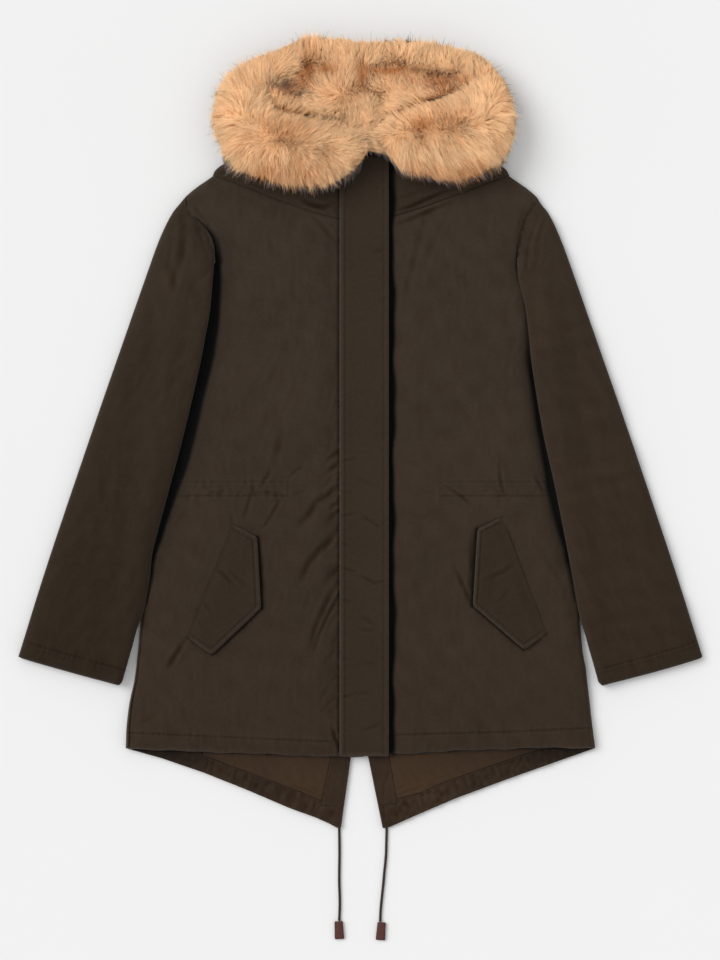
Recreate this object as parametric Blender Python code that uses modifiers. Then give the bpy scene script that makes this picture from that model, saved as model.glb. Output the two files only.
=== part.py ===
"""Fur trimmed parka laid flat on its back, built from the pieces that a maker would cut and sew.

Frame: +X towards the wearer's left, +Y towards the hood, +Z up from the surface that the parka lies on.
The origin is on that surface, under the middle of the garment without its drawcords.

Every length in this file is in millimetres and becomes metres when a mesh is made. Outlines are given for
one side with X positive and mirrored by a side factor: +1 for the wearer's left, -1 for the right.

Each cloth piece is one flat sheet of triangles inside its cut outline, lifted to a top surface and closed
by an extrusion down to a bottom surface. The layers, from the surface up: backs, facings and linings,
fronts and collar, sleeves over the body's sides, placket and pocket flaps, and the fur on the hood's edge.
"""

import math

import bmesh
import bpy
import numpy as np
from mathutils import Vector
from mathutils.geometry import delaunay_2d_cdt

MM = 0.001
COLLECTION = "fur_trimmed_parka"
LEFT, RIGHT = 1, -1
SIDE_NAMES = {LEFT: "left", RIGHT: "right"}

# Layers -----------------------------------------------------------------------------------------------
GAP = 0.3  # between two pieces that touch
BACK_TOP = 4.0  # a back panel, flat on the surface
FACING_WALL = 1.2  # facings and linings on the fishtail
SEAM_WALL = 3.0  # shell and padding pressed at a seam
FRONT_SEAM_BOTTOM = BACK_TOP + GAP
FRONT_AIR = 3.0  # the front's rise off the back, away from the seams
FRONT_FULL_TOP = 16.5
HEM_SLOPE = 24.0  # how far in from the hem the front is full
SIDE_SLOPE = 60.0  # the front's slope down to the side seam, where the sleeve presses it
ARMHOLE_SLOPE = 34.0
NECK_SLOPE = 30.0
COLLAR_FULL_TOP = 14.0
SLEEVE_UNDER_WALL = 3.5
SLEEVE_AIR = 3.0
SLEEVE_PUFF = 8.5  # the upper sleeve's rise from its edge to its middle
SLEEVE_SLOPE = 32.0
SLEEVE_CLEARANCE = 1.6  # the under sleeve above the front that it lies on
SLEEVE_STEP_OUT = 36.0  # from the body's side seam to where the sleeve reaches the surface

# Placket ----------------------------------------------------------------------------------------------
PLACKET_SEWN_X, PLACKET_FREE_X = -29.0, 37.5
PLACKET_TOP_Y, PLACKET_BOTTOM_Y = 373.7, -433.0
PLACKET_BED = 12.0  # the fronts' flat height under the placket
PLACKET_WALL = 4.0
PLACKET_LIFT = 3.4  # how far its free edge stands off the front
FRONT_MEET_X = 4.0  # the fronts meet here, under the placket
BED_SEWN_X, BED_FREE_X = PLACKET_SEWN_X - 2.0, PLACKET_FREE_X + 1.5
TROUGH_X, TROUGH_DROP = 45.0, 1.5  # beside the free edge
BED_SLOPE = 28.0

# Outlines of one half: x, y ---------------------------------------------------------------------------
NECK = ((4.0, 287.0), (30.0, 290.0), (60.0, 298.0), (90.0, 308.0), (120.0, 319.0), (150.0, 331.0),
        (180.0, 342.0), (200.0, 348.0))
SHOULDER = ((200.0, 348.0), (223.0, 332.0), (236.0, 321.0), (238.0, 318.0))
ARMHOLE_SHOWN = ((238.0, 318.0), (232.0, 299.0), (217.0, 285.5), (205.0, 272.0), (198.5, 256.0),
                 (196.0, 233.0))
ARMHOLE_UNDER = ((196.0, 233.0), (203.0, 217.5), (217.0, 204.0), (235.0, 195.0))
SIDE_SEAM = ((235.0, 195.0), (252.0, 60.0), (270.0, -75.0), (283.0, -160.0), (296.0, -234.0),
             (309.0, -329.0), (314.6, -379.0), (316.0, -423.0))
FRONT_HEM = {RIGHT: ((316.0, -423.0), (250.0, -426.5), (150.0, -430.0), (31.0, -434.5), (-4.0, -434.5)),
             LEFT: ((316.0, -423.0), (250.0, -422.5), (150.0, -425.5), (39.0, -431.0), (4.0, -431.5))}
BACK_NECK_Y = 348.0
BACK_MEET_X = 0.15
VENT_APEX_Y = -358.0
TAIL_EDGE = ((316.0, -423.0), (254.0, -445.0), (190.0, -467.8), (126.0, -491.7), (74.5, -513.8),
             (37.5, -528.4))
TAIL_TIP = (29.0, -531.5)
VENT_EDGE = (12.3, -434.8)
SLEEVE_OUTER = ((238.0, 318.0), (243.8, 311.0), (255.6, 295.0), (271.0, 262.6), (288.8, 214.0),
                (322.8, 116.8), (362.2, 3.4), (422.4, -174.8), (462.0, -299.6))
CUFF = ((462.0, -299.6), (448.0, -304.6), (393.0, -320.6), (333.0, -337.0))
SLEEVE_INNER = {
    RIGHT: ((324.5, -333.0), (297.0, -248.0), (284.0, -190.0), (280.0, -156.0), (258.5, -75.0),
            (237.0, 6.0), (218.0, 87.0), (210.0, 128.0), (203.0, 168.0), (197.5, 232.0)),
    LEFT: ((324.5, -333.0), (293.0, -240.0), (285.5, -196.0), (278.0, -156.0), (262.0, -75.0),
           (244.4, 6.0), (228.2, 87.0), (222.8, 128.0), (214.0, 174.0), (197.5, 232.0)),
}
COLLAR_END = ((200.0, 348.4), (196.5, 356.0), (187.0, 364.0))
COLLAR_TOP = ((187.0, 364.0), (150.0, 371.0), (90.0, 374.0), (4.0, 374.0))
HOOD_EDGE = ((184.0, 349.0), (186.0, 385.0), (182.0, 420.0), (170.0, 450.0), (146.0, 477.0),
             (110.0, 496.0), (60.0, 506.0), (0.15, 508.0))

# The lining that shows on the fishtail, from the vent outwards: x, y
LINING_LOW = {RIGHT: ((40.5, -434.8), (52.7, -494.8), (77.4, -484.0), (126.9, -465.9), (213.8, -432.7)),
              LEFT: ((37.8, -434.8), (48.6, -492.8), (87.8, -482.4), (162.0, -459.7), (246.0, -433.5))}
LINING_TOP_Y = -388.0
FACING_TOP_Y = -404.0
FACING_SIDE_X = 290.0  # beyond this the facing stays clear of the front's low edge

# Pocket flaps: a b c d are the free edge, d e a the sewn edge: x, y
FLAPS = {RIGHT: ((172.8, -121.4), (139.0, -139.7), (133.7, -234.2), (199.8, -296.3), (233.6, -272.0)),
         LEFT: ((190.9, -111.9), (158.9, -128.0), (152.3, -230.7), (220.3, -289.4), (251.0, -268.0))}
FLAP_WALL = 3.4
FLAP_LIFT = 2.4

# Waist channel: side -> the gathered stretch's inner and outer x
WAIST_TOP_Y, WAIST_LOW_Y = -65.5, -84.4
WAIST_SPAN = {RIGHT: (96.0, 247.0), LEFT: (107.0, 252.0)}
GATHERS = 11
GATHER_HEIGHT = 1.3
GATHER_REACH = 26.0

# Folds pressed into the fronts and upper sleeves: side, x0, y0, x1, y1, depth, half width
FRONT_FOLDS = (
    (RIGHT, 31.0, -77.6, 79.7, -116.8, 2.4, 8.0),
    (RIGHT, 31.0, -136.5, 75.6, -178.9, 2.6, 9.0),
    (RIGHT, 31.0, -201.8, 66.0, -300.0, 2.8, 9.0),
    (RIGHT, 133.7, -72.2, 156.6, -112.0, 1.8, 6.0),
    (RIGHT, 112.0, -83.0, 123.0, -112.0, 1.6, 6.0),
    (RIGHT, 237.6, -280.0, 259.2, -307.0, 1.8, 8.0),
    (LEFT, 126.9, -178.9, 149.0, -225.0, 2.2, 8.0),
    (LEFT, 76.9, 259.9, 55.4, 169.4, 2.2, 12.0),
)
SLEEVE_FOLDS = (
    (RIGHT, 215.0, 285.0, 204.0, 238.0, 2.2, 7.0),
    (LEFT, 239.0, 290.0, 234.0, 262.0, 2.0, 7.0),
    (LEFT, 221.0, 274.0, 211.0, 243.0, 2.0, 7.0),
)

# Fur trim, from the centre front round the wearer's right, the top and the left, back to the front:
# outer x, outer y, inner x, inner y, bottom z, top z
FUR_SECTIONS = (
    (1.5, 373.3, 1.5, 411.0, 17.0, 62.0),
    (-15.0, 346.0, -15.0, 413.8, 17.0, 66.0),
    (-46.0, 330.8, -39.0, 421.9, 14.5, 69.0),
    (-83.7, 329.4, -69.0, 428.0, 14.5, 70.0),
    (-128.0, 338.0, -91.8, 432.7, 14.5, 70.0),
    (-171.5, 354.0, -105.0, 438.0, 14.5, 68.0),
    (-194.4, 389.5, -111.4, 443.5, 10.0, 66.0),
    (-201.8, 421.9, -112.7, 448.2, 6.0, 64.0),
    (-193.0, 454.3, -109.4, 454.3, 4.4, 61.0),
    (-174.0, 484.0, -101.3, 461.0, 4.4, 58.0),
    (-147.0, 503.6, -87.8, 471.8, 4.4, 55.0),
    (-110.7, 519.0, -72.9, 480.6, 4.4, 52.0),
    (-77.0, 529.2, -55.4, 486.0, 4.4, 50.0),
    (-39.0, 532.0, -27.0, 488.0, 4.4, 49.0),
    (2.7, 529.0, 6.8, 480.0, 4.4, 49.0),
    (52.7, 530.5, 50.0, 480.6, 4.4, 49.0),
    (95.9, 525.8, 86.4, 469.0, 4.4, 51.0),
    (133.7, 518.4, 110.7, 473.0, 4.4, 54.0),
    (166.0, 504.0, 129.6, 478.0, 4.4, 56.0),
    (189.0, 481.0, 139.0, 475.0, 4.4, 58.0),
    (204.5, 451.6, 141.5, 470.5, 4.4, 61.0),
    (206.6, 417.8, 136.4, 465.5, 6.0, 65.0),
    (198.5, 373.3, 124.0, 461.0, 10.0, 68.0),
    (171.5, 351.0, 108.0, 455.6, 14.5, 70.0),
    (126.9, 338.2, 85.0, 448.9, 14.5, 70.0),
    (86.4, 343.6, 63.5, 442.0, 14.5, 70.0),
    (55.4, 351.0, 43.2, 434.0, 14.5, 69.0),
    (39.2, 362.5, 27.0, 424.6, 17.0, 66.0),
    (21.0, 372.6, 13.5, 415.8, 17.0, 63.0),
    (2.3, 373.3, 2.3, 411.0, 17.0, 62.0),
)
FUR_SIDES = 12
FUR_STATIONS = 52
LINING_PILE_EDGE_TOP, LINING_PILE_TOP = 8.0, 18.0
LINING_PILE_UNDER = 4.0  # how far the hood lining runs under the fur

# Drawcords out of the fishtail's tips: side -> route x, y; and the folded leather ends on them
CORD_DIAMETER = 3.5
CORD_ROUTES = {RIGHT: ((-30.6, -531.9), (-29.6, -573.0), (-29.4, -615.0), (-29.4, -656.3)),
               LEFT: ((33.8, -531.0), (34.2, -573.0), (29.6, -623.0), (26.4, -657.7))}
CORD_POINT_STEP = 9.0
CORD_END_SIZE = (13.0, 24.0, 5.0)
CORD_END_AT = {RIGHT: (-29.6, -668.8, 3.0), LEFT: (27.4, -670.2, -4.0)}  # x, y, turn in degrees

# Mesh spacing -----------------------------------------------------------------------------------------
EDGE_STEP = 26.0
GRID_STEP = 36.0

# Colours: linear red, green, blue, then roughness
MATERIALS = {
    "shell_cotton": ((0.041, 0.030, 0.021), 0.85),
    "lining_satin": ((0.052, 0.030, 0.019), 0.45),
    "fur_tan": ((0.62, 0.36, 0.17), 0.95),
    "fur_lining": ((0.50, 0.27, 0.13), 0.95),
    "cord_brown": ((0.055, 0.035, 0.028), 0.80),
    "leather_burgundy": ((0.095, 0.040, 0.034), 0.55),
}


# Curves and distances ---------------------------------------------------------------------------------
def smooth_run(points, step):
    """Points about a step apart on a smooth curve through the given points (Catmull-Rom)."""
    knots = [Vector(point) for point in points]
    knots = [2 * knots[0] - knots[1], *knots, 2 * knots[-1] - knots[-2]]
    run = []
    for before, start, end, after in zip(knots, knots[1:], knots[2:], knots[3:]):
        count = max(1, round((end - start).length / step))
        for index in range(count):
            t = index / count
            run.append(0.5 * (
                2 * start
                + (end - before) * t
                + (2 * before - 5 * start + 4 * end - after) * t ** 2
                + (3 * start - before - 3 * end + after) * t ** 3
            ))
    run.append(knots[-2])
    return np.array([tuple(point) for point in run])


def straight_run(points, step):
    """Points about a step apart along straight lines between the given points."""
    run = []
    for start, end in zip(points, points[1:]):
        count = max(1, round(math.dist(start, end) / step))
        run += [np.array(start) + (np.array(end) - start) * index / count for index in range(count)]
    return np.array([*run, points[-1]])


def joined(*runs):
    """One closed outline from runs laid end to end, without doubled corners."""
    outline = []
    for run in runs:
        for point in run:
            if not outline or math.dist(outline[-1], point) > 0.2:
                outline.append(tuple(point))
    if math.dist(outline[0], outline[-1]) <= 0.2:
        outline.pop()
    return np.array(outline)


def mirrored(points, side):
    """A copy of the points on one side of the garment."""
    return np.array(points, float) * (side, 1.0)


def distance_to(line, x, y):
    """Each point's distance to an open polyline."""
    nearest = np.full(np.shape(x), np.inf)
    for (x0, y0), (x1, y1) in zip(line, line[1:]):
        dx, dy = x1 - x0, y1 - y0
        along = np.clip(((x - x0) * dx + (y - y0) * dy) / (dx * dx + dy * dy), 0.0, 1.0)
        nearest = np.minimum(nearest, np.hypot(x - x0 - along * dx, y - y0 - along * dy))
    return nearest


def is_inside(outline, x, y):
    """Whether each point lies inside a closed outline, by the even-odd rule."""
    inside = np.zeros(np.shape(x), bool)
    for (x0, y0), (x1, y1) in zip(outline, np.roll(outline, -1, axis=0)):
        if y0 != y1:
            crosses = (y0 > y) != (y1 > y)
            inside ^= crosses & (x < (x1 - x0) * (y - y0) / (y1 - y0) + x0)
    return inside


def smoothstep(t):
    """0 below 0, 1 above 1, and a soft rise between."""
    t = np.clip(t, 0.0, 1.0)
    return t * t * (3 - 2 * t)


def dome(t):
    """A quarter circle's rise from 0 to 1, the profile of a padded edge."""
    return np.sqrt(1 - (1 - np.clip(t, 0.0, 1.0)) ** 2)


def fold_depth(folds, side, x, y):
    """How far the folds of one side press a surface down at each point."""
    depth = np.zeros(np.shape(x))
    for fold_side, x0, y0, x1, y1, deep, half_width in folds:
        if fold_side == side:
            dx, dy = x1 - x0, y1 - y0
            along = np.clip(((x - x0) * dx + (y - y0) * dy) / (dx * dx + dy * dy), 0.0, 1.0)
            away = np.hypot(x - x0 - along * dx, y - y0 - along * dy)
            depth += deep * np.exp(-((away / half_width) ** 2))
    return depth


# Flat sheets ------------------------------------------------------------------------------------------
def flat_sheet(outline, insets=(5.0, 16.0), lines=(), spots=(), grid=GRID_STEP, edge=EDGE_STEP):
    """Triangulate a cut piece.

    The points are the outline's and the lines', then the loose spots, then rings inside the edge, then a
    staggered grid; a loose point is left out where another is already close. Returns points and triangles.
    """
    points = [tuple(point) for point in outline]
    edges = [(index, (index + 1) % len(points)) for index in range(len(points))]
    for line in lines:
        start = len(points)
        points += [tuple(point) for point in line]
        edges += [(index, index + 1) for index in range(start, len(points) - 1)]

    closed = np.vstack((outline, outline[:1]))

    def add(candidates, from_edge, apart):
        for x, y in candidates:
            if not is_inside(outline, x, y) or distance_to(closed, x, y) < from_edge:
                continue
            taken = np.array(points)
            if np.hypot(taken[:, 0] - x, taken[:, 1] - y).min() >= apart:
                points.append((float(x), float(y)))

    for x, y, apart in spots:
        add([(x, y)], 2.0, apart)
    tangents = np.roll(outline, -1, axis=0) - np.roll(outline, 1, axis=0)
    normals = np.stack((-tangents[:, 1], tangents[:, 0]), axis=1)
    normals /= np.hypot(*normals.T)[:, None]
    if not is_inside(outline, *(outline[0] + normals[0] * 0.5)):
        normals = -normals
    for inset in insets:
        add(outline + normals * inset, inset * 0.85, min(edge * 0.55, inset * 1.2))
    low, high = outline.min(axis=0), outline.max(axis=0)
    for row, y in enumerate(np.arange(low[1], high[1], grid * 0.866)):
        shift = grid * 0.5 * (row % 2)
        add([(x, y) for x in np.arange(low[0] + shift, high[0], grid)], grid * 0.4, grid * 0.6)
    found = delaunay_2d_cdt([Vector(point) for point in points], edges, [], 1, 1e-4)
    return np.array([tuple(point) for point in found[0]]), [tuple(face) for face in found[2]]


def part_of_sheet(points, triangles, outline):
    """The triangles of a sheet that lie inside an outline, with only their own points."""
    centres = points[np.array(triangles)].mean(axis=1)
    kept = [tri for tri, inside in zip(triangles, is_inside(outline, *centres.T)) if inside]
    used = sorted({index for tri in kept for index in tri})
    place = {index: new for new, index in enumerate(used)}
    return points[used], [tuple(place[index] for index in tri) for tri in kept]


# Blender objects --------------------------------------------------------------------------------------
def clear_scene():
    for existing in list(bpy.data.objects):
        bpy.data.objects.remove(existing, do_unlink=True)


def garment_collection():
    collection = bpy.data.collections.new(COLLECTION)
    bpy.context.scene.collection.children.link(collection)
    return collection


def material(name):
    """The Principled material of that name, made once."""
    if name in bpy.data.materials:
        return bpy.data.materials[name]
    colour, roughness = MATERIALS[name]
    made = bpy.data.materials.new(name)
    made.use_nodes = True
    shader = made.node_tree.nodes["Principled BSDF"]
    shader.inputs["Base Color"].default_value = (*colour, 1.0)
    shader.inputs["Roughness"].default_value = roughness
    shader.inputs["Metallic"].default_value = 0.0
    made.diffuse_color = (*colour, 1.0)
    return made


def object_from(name, mesh, cloth, collection):
    made = bpy.data.objects.new(name, mesh)
    mesh.materials.append(material(cloth))
    collection.objects.link(made)
    return made


def mesh_of(name, shape):
    """A smooth-shaded mesh of a finished bmesh, its faces turned outwards."""
    bmesh.ops.recalc_face_normals(shape, faces=shape.faces)
    mesh = bpy.data.meshes.new(name)
    shape.to_mesh(mesh)
    shape.free()
    mesh.shade_smooth()
    mesh.set_sharp_from_angle(angle=math.radians(50))
    return mesh


def cloth_solid(name, sheet, bottom, top, cloth, collection):
    """Close a sheet into a solid between two heights given at each of its points."""
    points, triangles = sheet
    shape = bmesh.new()
    upper = [shape.verts.new((x * MM, y * MM, z * MM)) for (x, y), z in zip(points, top)]
    faces = [shape.faces.new([upper[index] for index in tri]) for tri in triangles]
    low_height = {vert: z * MM for vert, z in zip(upper, bottom)}
    sides = bmesh.ops.extrude_face_region(shape, geom=faces, use_keep_orig=True)
    lower = [item for item in sides["geom"] if isinstance(item, bmesh.types.BMVert)]
    matched = {(round(v.co.x, 7), round(v.co.y, 7)): low_height[v] for v in upper}
    for vert in lower:
        vert.co.z = matched[(round(vert.co.x, 7), round(vert.co.y, 7))]
    return object_from(name, mesh_of(name, shape), cloth, collection)


# Surfaces ---------------------------------------------------------------------------------------------
def front_bottom(side, x, y):
    """The front's inside: on the back at the seams, a little off it elsewhere."""
    seams = joined(NECK, SHOULDER, ARMHOLE_SHOWN, ARMHOLE_UNDER, SIDE_SEAM)
    rise = smoothstep(distance_to(mirrored(seams, side), x, y) / 24.0)
    return FRONT_SEAM_BOTTOM + FRONT_AIR * rise


def gathers(side, x, y):
    """Puckers along the waist channel, highest between its two stitch rows."""
    inner, outer = WAIST_SPAN[side]
    along = (x * side - inner) / (outer - inner)
    off_rows = np.maximum(0.0, np.maximum(y - WAIST_TOP_Y, WAIST_LOW_Y - y))
    reach = 1 - smoothstep(off_rows / GATHER_REACH)
    ends = smoothstep(along * 8) * smoothstep((1 - along) * 8)
    return GATHER_HEIGHT * np.cos(2 * math.pi * GATHERS * along) * reach * ends


def placket_bed(x, top):
    """Level the fronts under the placket, with a trough beside its free edge."""
    trough = PLACKET_BED - TROUGH_DROP
    towards_sewn = smoothstep((BED_SEWN_X - x) / BED_SLOPE)
    towards_free = smoothstep((x - TROUGH_X) / BED_SLOPE)
    outside = np.where(x < BED_SEWN_X, towards_sewn, towards_free)
    base = np.where(x > BED_FREE_X, np.interp(x, (BED_FREE_X, TROUGH_X), (PLACKET_BED, trough)), PLACKET_BED)
    return np.where((x >= BED_SEWN_X) & (x <= TROUGH_X), base, base + (top - base) * outside)


def front_top(side, x, y):
    """The front's outside: pressed at the seams and hem, full between, folded and gathered."""
    edge_rise = np.minimum.reduce([
        smoothstep(distance_to(mirrored(SIDE_SEAM, side), x, y) / SIDE_SLOPE),
        dome(distance_to(mirrored(joined(ARMHOLE_SHOWN, ARMHOLE_UNDER), side), x, y) / ARMHOLE_SLOPE),
        dome(distance_to(mirrored(joined(NECK, SHOULDER), side), x, y) / NECK_SLOPE),
        0.3 + 0.7 * dome(distance_to(mirrored(FRONT_HEM[side], side), x, y) / HEM_SLOPE),
    ])
    seam_top = FRONT_SEAM_BOTTOM + SEAM_WALL
    top = seam_top + (FRONT_FULL_TOP - seam_top) * edge_rise
    top = top - fold_depth(FRONT_FOLDS, side, x * side, y) + gathers(side, x, y)
    return np.maximum(placket_bed(x, top), front_bottom(side, x, y) + SEAM_WALL)


def sleeve_bottom(side, x, y):
    """The under sleeve's underside: on the surface, and over the body's side where it crosses it."""
    crossed = mirrored((*ARMHOLE_UNDER[1:], *SIDE_SEAM[1:6]), side)
    away = distance_to(crossed, x, y)
    on_body = is_inside(body_outline(side), x, y)
    over = front_top(side, x, y) + SLEEVE_CLEARANCE
    beside = FRONT_SEAM_BOTTOM + SEAM_WALL + SLEEVE_CLEARANCE
    off_body = beside * (1 - smoothstep((away - 7.0) / SLEEVE_STEP_OUT))
    return np.where(on_body, np.maximum(over, beside), off_body)


def body_outline(side):
    """The edge of the body's front on one side, without its hem's small rise and fall."""
    half = joined(NECK, SHOULDER, ARMHOLE_SHOWN, ARMHOLE_UNDER, SIDE_SEAM, FRONT_HEM[side])
    return mirrored(half, side)


def sleeve_rise(side, x, y):
    """How full the upper sleeve is: 0 at its folds and seams, 1 along its middle."""
    outer, inner = mirrored(SLEEVE_OUTER, side), mirrored(SLEEVE_INNER[side], side)
    seam, cuff = mirrored(ARMHOLE_SHOWN, side), mirrored(CUFF, side)
    return np.minimum.reduce([
        dome(distance_to(outer, x, y) / SLEEVE_SLOPE),
        dome(distance_to(inner, x, y) / SLEEVE_SLOPE),
        dome(distance_to(seam, x, y) / SLEEVE_SLOPE),
        0.35 + 0.65 * dome(distance_to(cuff, x, y) / HEM_SLOPE),
    ])


# Pieces -----------------------------------------------------------------------------------------------
def build_back(side, collection):
    """A back panel: shoulder to fishtail, with the vent's edge below the centre seam."""
    centre = (TAIL_TIP, VENT_EDGE, (BACK_MEET_X, VENT_APEX_Y), (BACK_MEET_X, BACK_NECK_Y),
              (200.0, BACK_NECK_Y))
    outline = joined(
        smooth_run(SHOULDER, EDGE_STEP),
        smooth_run(ARMHOLE_SHOWN, EDGE_STEP),
        smooth_run(ARMHOLE_UNDER, EDGE_STEP),
        smooth_run(SIDE_SEAM, EDGE_STEP),
        smooth_run((*TAIL_EDGE, TAIL_TIP), EDGE_STEP),
        straight_run(centre, 2 * EDGE_STEP),
    )
    sheet = flat_sheet(mirrored(outline, side), insets=(), grid=2 * GRID_STEP)
    count = len(sheet[0])
    cloth_solid(f"back_{SIDE_NAMES[side]}", sheet, np.zeros(count), np.full(count, BACK_TOP),
                "shell_cotton", collection)


def fold_spots(folds, side):
    """Points on and beside each fold, so that the sheet can take its shape."""
    spots = []
    for fold_side, x0, y0, x1, y1, _, half_width in folds:
        if fold_side == side:
            start, end = np.array((x0, y0)), np.array((x1, y1))
            along = (end - start) / math.dist(start, end)
            across = np.array((-along[1], along[0])) * half_width * 1.3
            for share in np.linspace(0.0, 1.0, max(2, round(math.dist(start, end) / 22.0))):
                middle = start + (end - start) * share
                for place in (middle, middle + across, middle - across):
                    spots.append((side * place[0], place[1], half_width * 0.8))
    return spots


def gather_spots(side):
    """Points on the crest and in the hollow of each waist pucker."""
    inner, outer = WAIST_SPAN[side]
    rows = (WAIST_TOP_Y + 20.0, WAIST_TOP_Y, (WAIST_TOP_Y + WAIST_LOW_Y) / 2, WAIST_LOW_Y, WAIST_LOW_Y - 20.0)
    columns = np.linspace(inner, outer, 2 * GATHERS + 1)
    return [(side * x, y, 3.0) for x in columns for y in rows]


def flap_outline(side):
    return mirrored(straight_run((*FLAPS[side], FLAPS[side][0]), 26.0), side)


def front_sheet(side):
    """The front's sheet, with the flap's edge and the placket's bed as lines in it."""
    meet = FRONT_MEET_X * side + GAP / 2  # measured outwards on this side
    neck = [(max(x, meet), y) for x, y in NECK]
    hem = [(max(x, meet), y) for x, y in FRONT_HEM[side]]
    outline = mirrored(joined(
        smooth_run(neck, EDGE_STEP),
        smooth_run(SHOULDER, EDGE_STEP),
        smooth_run(ARMHOLE_SHOWN, EDGE_STEP),
        smooth_run(ARMHOLE_UNDER, EDGE_STEP),
        smooth_run(SIDE_SEAM, EDGE_STEP),
        smooth_run(hem, EDGE_STEP),
        straight_run((hem[-1], neck[0]), 2 * EDGE_STEP),
    ), side)
    top_y, low_y = NECK[1][1] - 3.0, FRONT_HEM[side][3][1] + 3.0
    bed_lines = {RIGHT: (BED_SEWN_X,), LEFT: (BED_FREE_X, TROUGH_X)}[side]
    lines = [straight_run(((x, top_y), (x, low_y)), 2 * EDGE_STEP) for x in bed_lines]
    spots = gather_spots(side) + fold_spots(FRONT_FOLDS, side)
    return flat_sheet(outline, insets=(5.0, 16.0, 34.0), lines=[flap_outline(side), *lines], spots=spots)


def build_front(side, collection):
    """A front panel and the pocket flap that lies on it, from the same sheet."""
    points, triangles = front_sheet(side)
    x, y = points.T
    cloth_solid(f"front_{SIDE_NAMES[side]}", (points, triangles), front_bottom(side, x, y),
                front_top(side, x, y), "shell_cotton", collection)

    outline = flap_outline(side)
    flap_points, flap_triangles = part_of_sheet(points, triangles, outline)
    x, y = flap_points.T
    sewn = mirrored((FLAPS[side][3], FLAPS[side][4], FLAPS[side][0]), side)
    free = 1 - smoothstep(distance_to(mirrored(FLAPS[side][:4], side), x, y) / 30.0)
    from_seam = smoothstep(distance_to(sewn, x, y) / 30.0)
    bottom = front_top(side, x, y) + GAP + FLAP_LIFT * free * from_seam
    cloth_solid(f"pocket_flap_{SIDE_NAMES[side]}", (flap_points, flap_triangles), bottom,
                bottom + FLAP_WALL * (0.7 + 0.3 * from_seam), "shell_cotton", collection)


def build_sleeve(side, collection):
    """The under and upper sleeve, from one sheet: seamed along both folds, open at the cuff."""
    outline = mirrored(joined(
        smooth_run(SLEEVE_OUTER, EDGE_STEP)[1:],
        smooth_run(CUFF, EDGE_STEP),
        smooth_run(SLEEVE_INNER[side], EDGE_STEP),
        smooth_run(ARMHOLE_SHOWN[::-1], EDGE_STEP) + (2 * GAP, 0.0),
    ), side)
    beside = mirrored(((204.0, 224.0), (210.0, 218.0), (222.0, 209.0), (239.0, 201.0),
                       *((x + 6.5, y) for x, y in SIDE_SEAM[1:5])), side)
    crossing = [(x, y, 4.0) for x, y in straight_run(beside, 24.0)]
    spots = crossing + fold_spots(SLEEVE_FOLDS, side)
    sheet = flat_sheet(outline, insets=(5.0, 16.0), spots=spots)
    x, y = sheet[0].T
    bottom = sleeve_bottom(side, x, y)
    under_top = bottom + SLEEVE_UNDER_WALL
    cloth_solid(f"sleeve_{SIDE_NAMES[side]}_under", sheet, bottom, under_top, "shell_cotton", collection)

    rise = sleeve_rise(side, x, y)
    folds = fold_depth(SLEEVE_FOLDS, side, x * side, y)
    inside = under_top + GAP + SLEEVE_AIR * smoothstep(rise)
    outside = under_top + GAP + SEAM_WALL + (SLEEVE_AIR + SLEEVE_PUFF) * rise - folds
    cloth_solid(f"sleeve_{SIDE_NAMES[side]}_upper", sheet, inside, np.maximum(outside, inside + SEAM_WALL),
                "shell_cotton", collection)


def build_collar(side, collection):
    """Half of the stand collar, from the neck seam to under the fur."""
    meet = FRONT_MEET_X * side + GAP / 2
    neck = [(max(x, meet), y + 0.4) for x, y in NECK]
    upper = [(max(x, meet), y) for x, y in COLLAR_TOP]
    outline = mirrored(joined(
        smooth_run(neck, EDGE_STEP),
        smooth_run(COLLAR_END, EDGE_STEP),
        smooth_run(upper, EDGE_STEP),
        straight_run((upper[-1], neck[0]), EDGE_STEP),
    ), side)
    bed_x = BED_SEWN_X if side == RIGHT else BED_FREE_X
    bed_line = straight_run(((bed_x, NECK[1][1] + 6.0), (bed_x, COLLAR_TOP[-1][1] - 3.0)), EDGE_STEP)
    sheet = flat_sheet(outline, insets=(6.0, 18.0), lines=[bed_line])
    x, y = sheet[0].T
    edge = distance_to(mirrored(joined(NECK, COLLAR_END), side), x, y)
    bottom = FRONT_SEAM_BOTTOM + FRONT_AIR * smoothstep(edge / 24.0)
    rounded = FRONT_SEAM_BOTTOM + SEAM_WALL
    rounded = rounded + (COLLAR_FULL_TOP - rounded) * dome(edge / 22.0)
    share = smoothstep((x - bed_x) * side / BED_SLOPE)
    top = PLACKET_BED + (rounded - PLACKET_BED) * share
    cloth_solid(f"collar_{SIDE_NAMES[side]}", sheet, bottom, np.maximum(top, bottom + SEAM_WALL),
                "shell_cotton", collection)


def build_hood(side, collection):
    """Half of the hood, spread flat behind the neck under its lining and fur."""
    outline = mirrored(joined(
        smooth_run(HOOD_EDGE, EDGE_STEP),
        straight_run(((BACK_MEET_X, HOOD_EDGE[-1][1]), (BACK_MEET_X, BACK_NECK_Y + 0.4),
                      (HOOD_EDGE[0][0], BACK_NECK_Y + 0.4)), EDGE_STEP),
    ), side)
    sheet = flat_sheet(outline, insets=(), grid=60.0)
    count = len(sheet[0])
    cloth_solid(f"hood_{SIDE_NAMES[side]}", sheet, np.zeros(count), np.full(count, BACK_TOP),
                "shell_cotton", collection)


def fur_inner_edge():
    """The edge of the hood's opening, where the fur's inner side stands."""
    return np.array([(row[2], row[3]) for row in FUR_SECTIONS])


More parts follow.
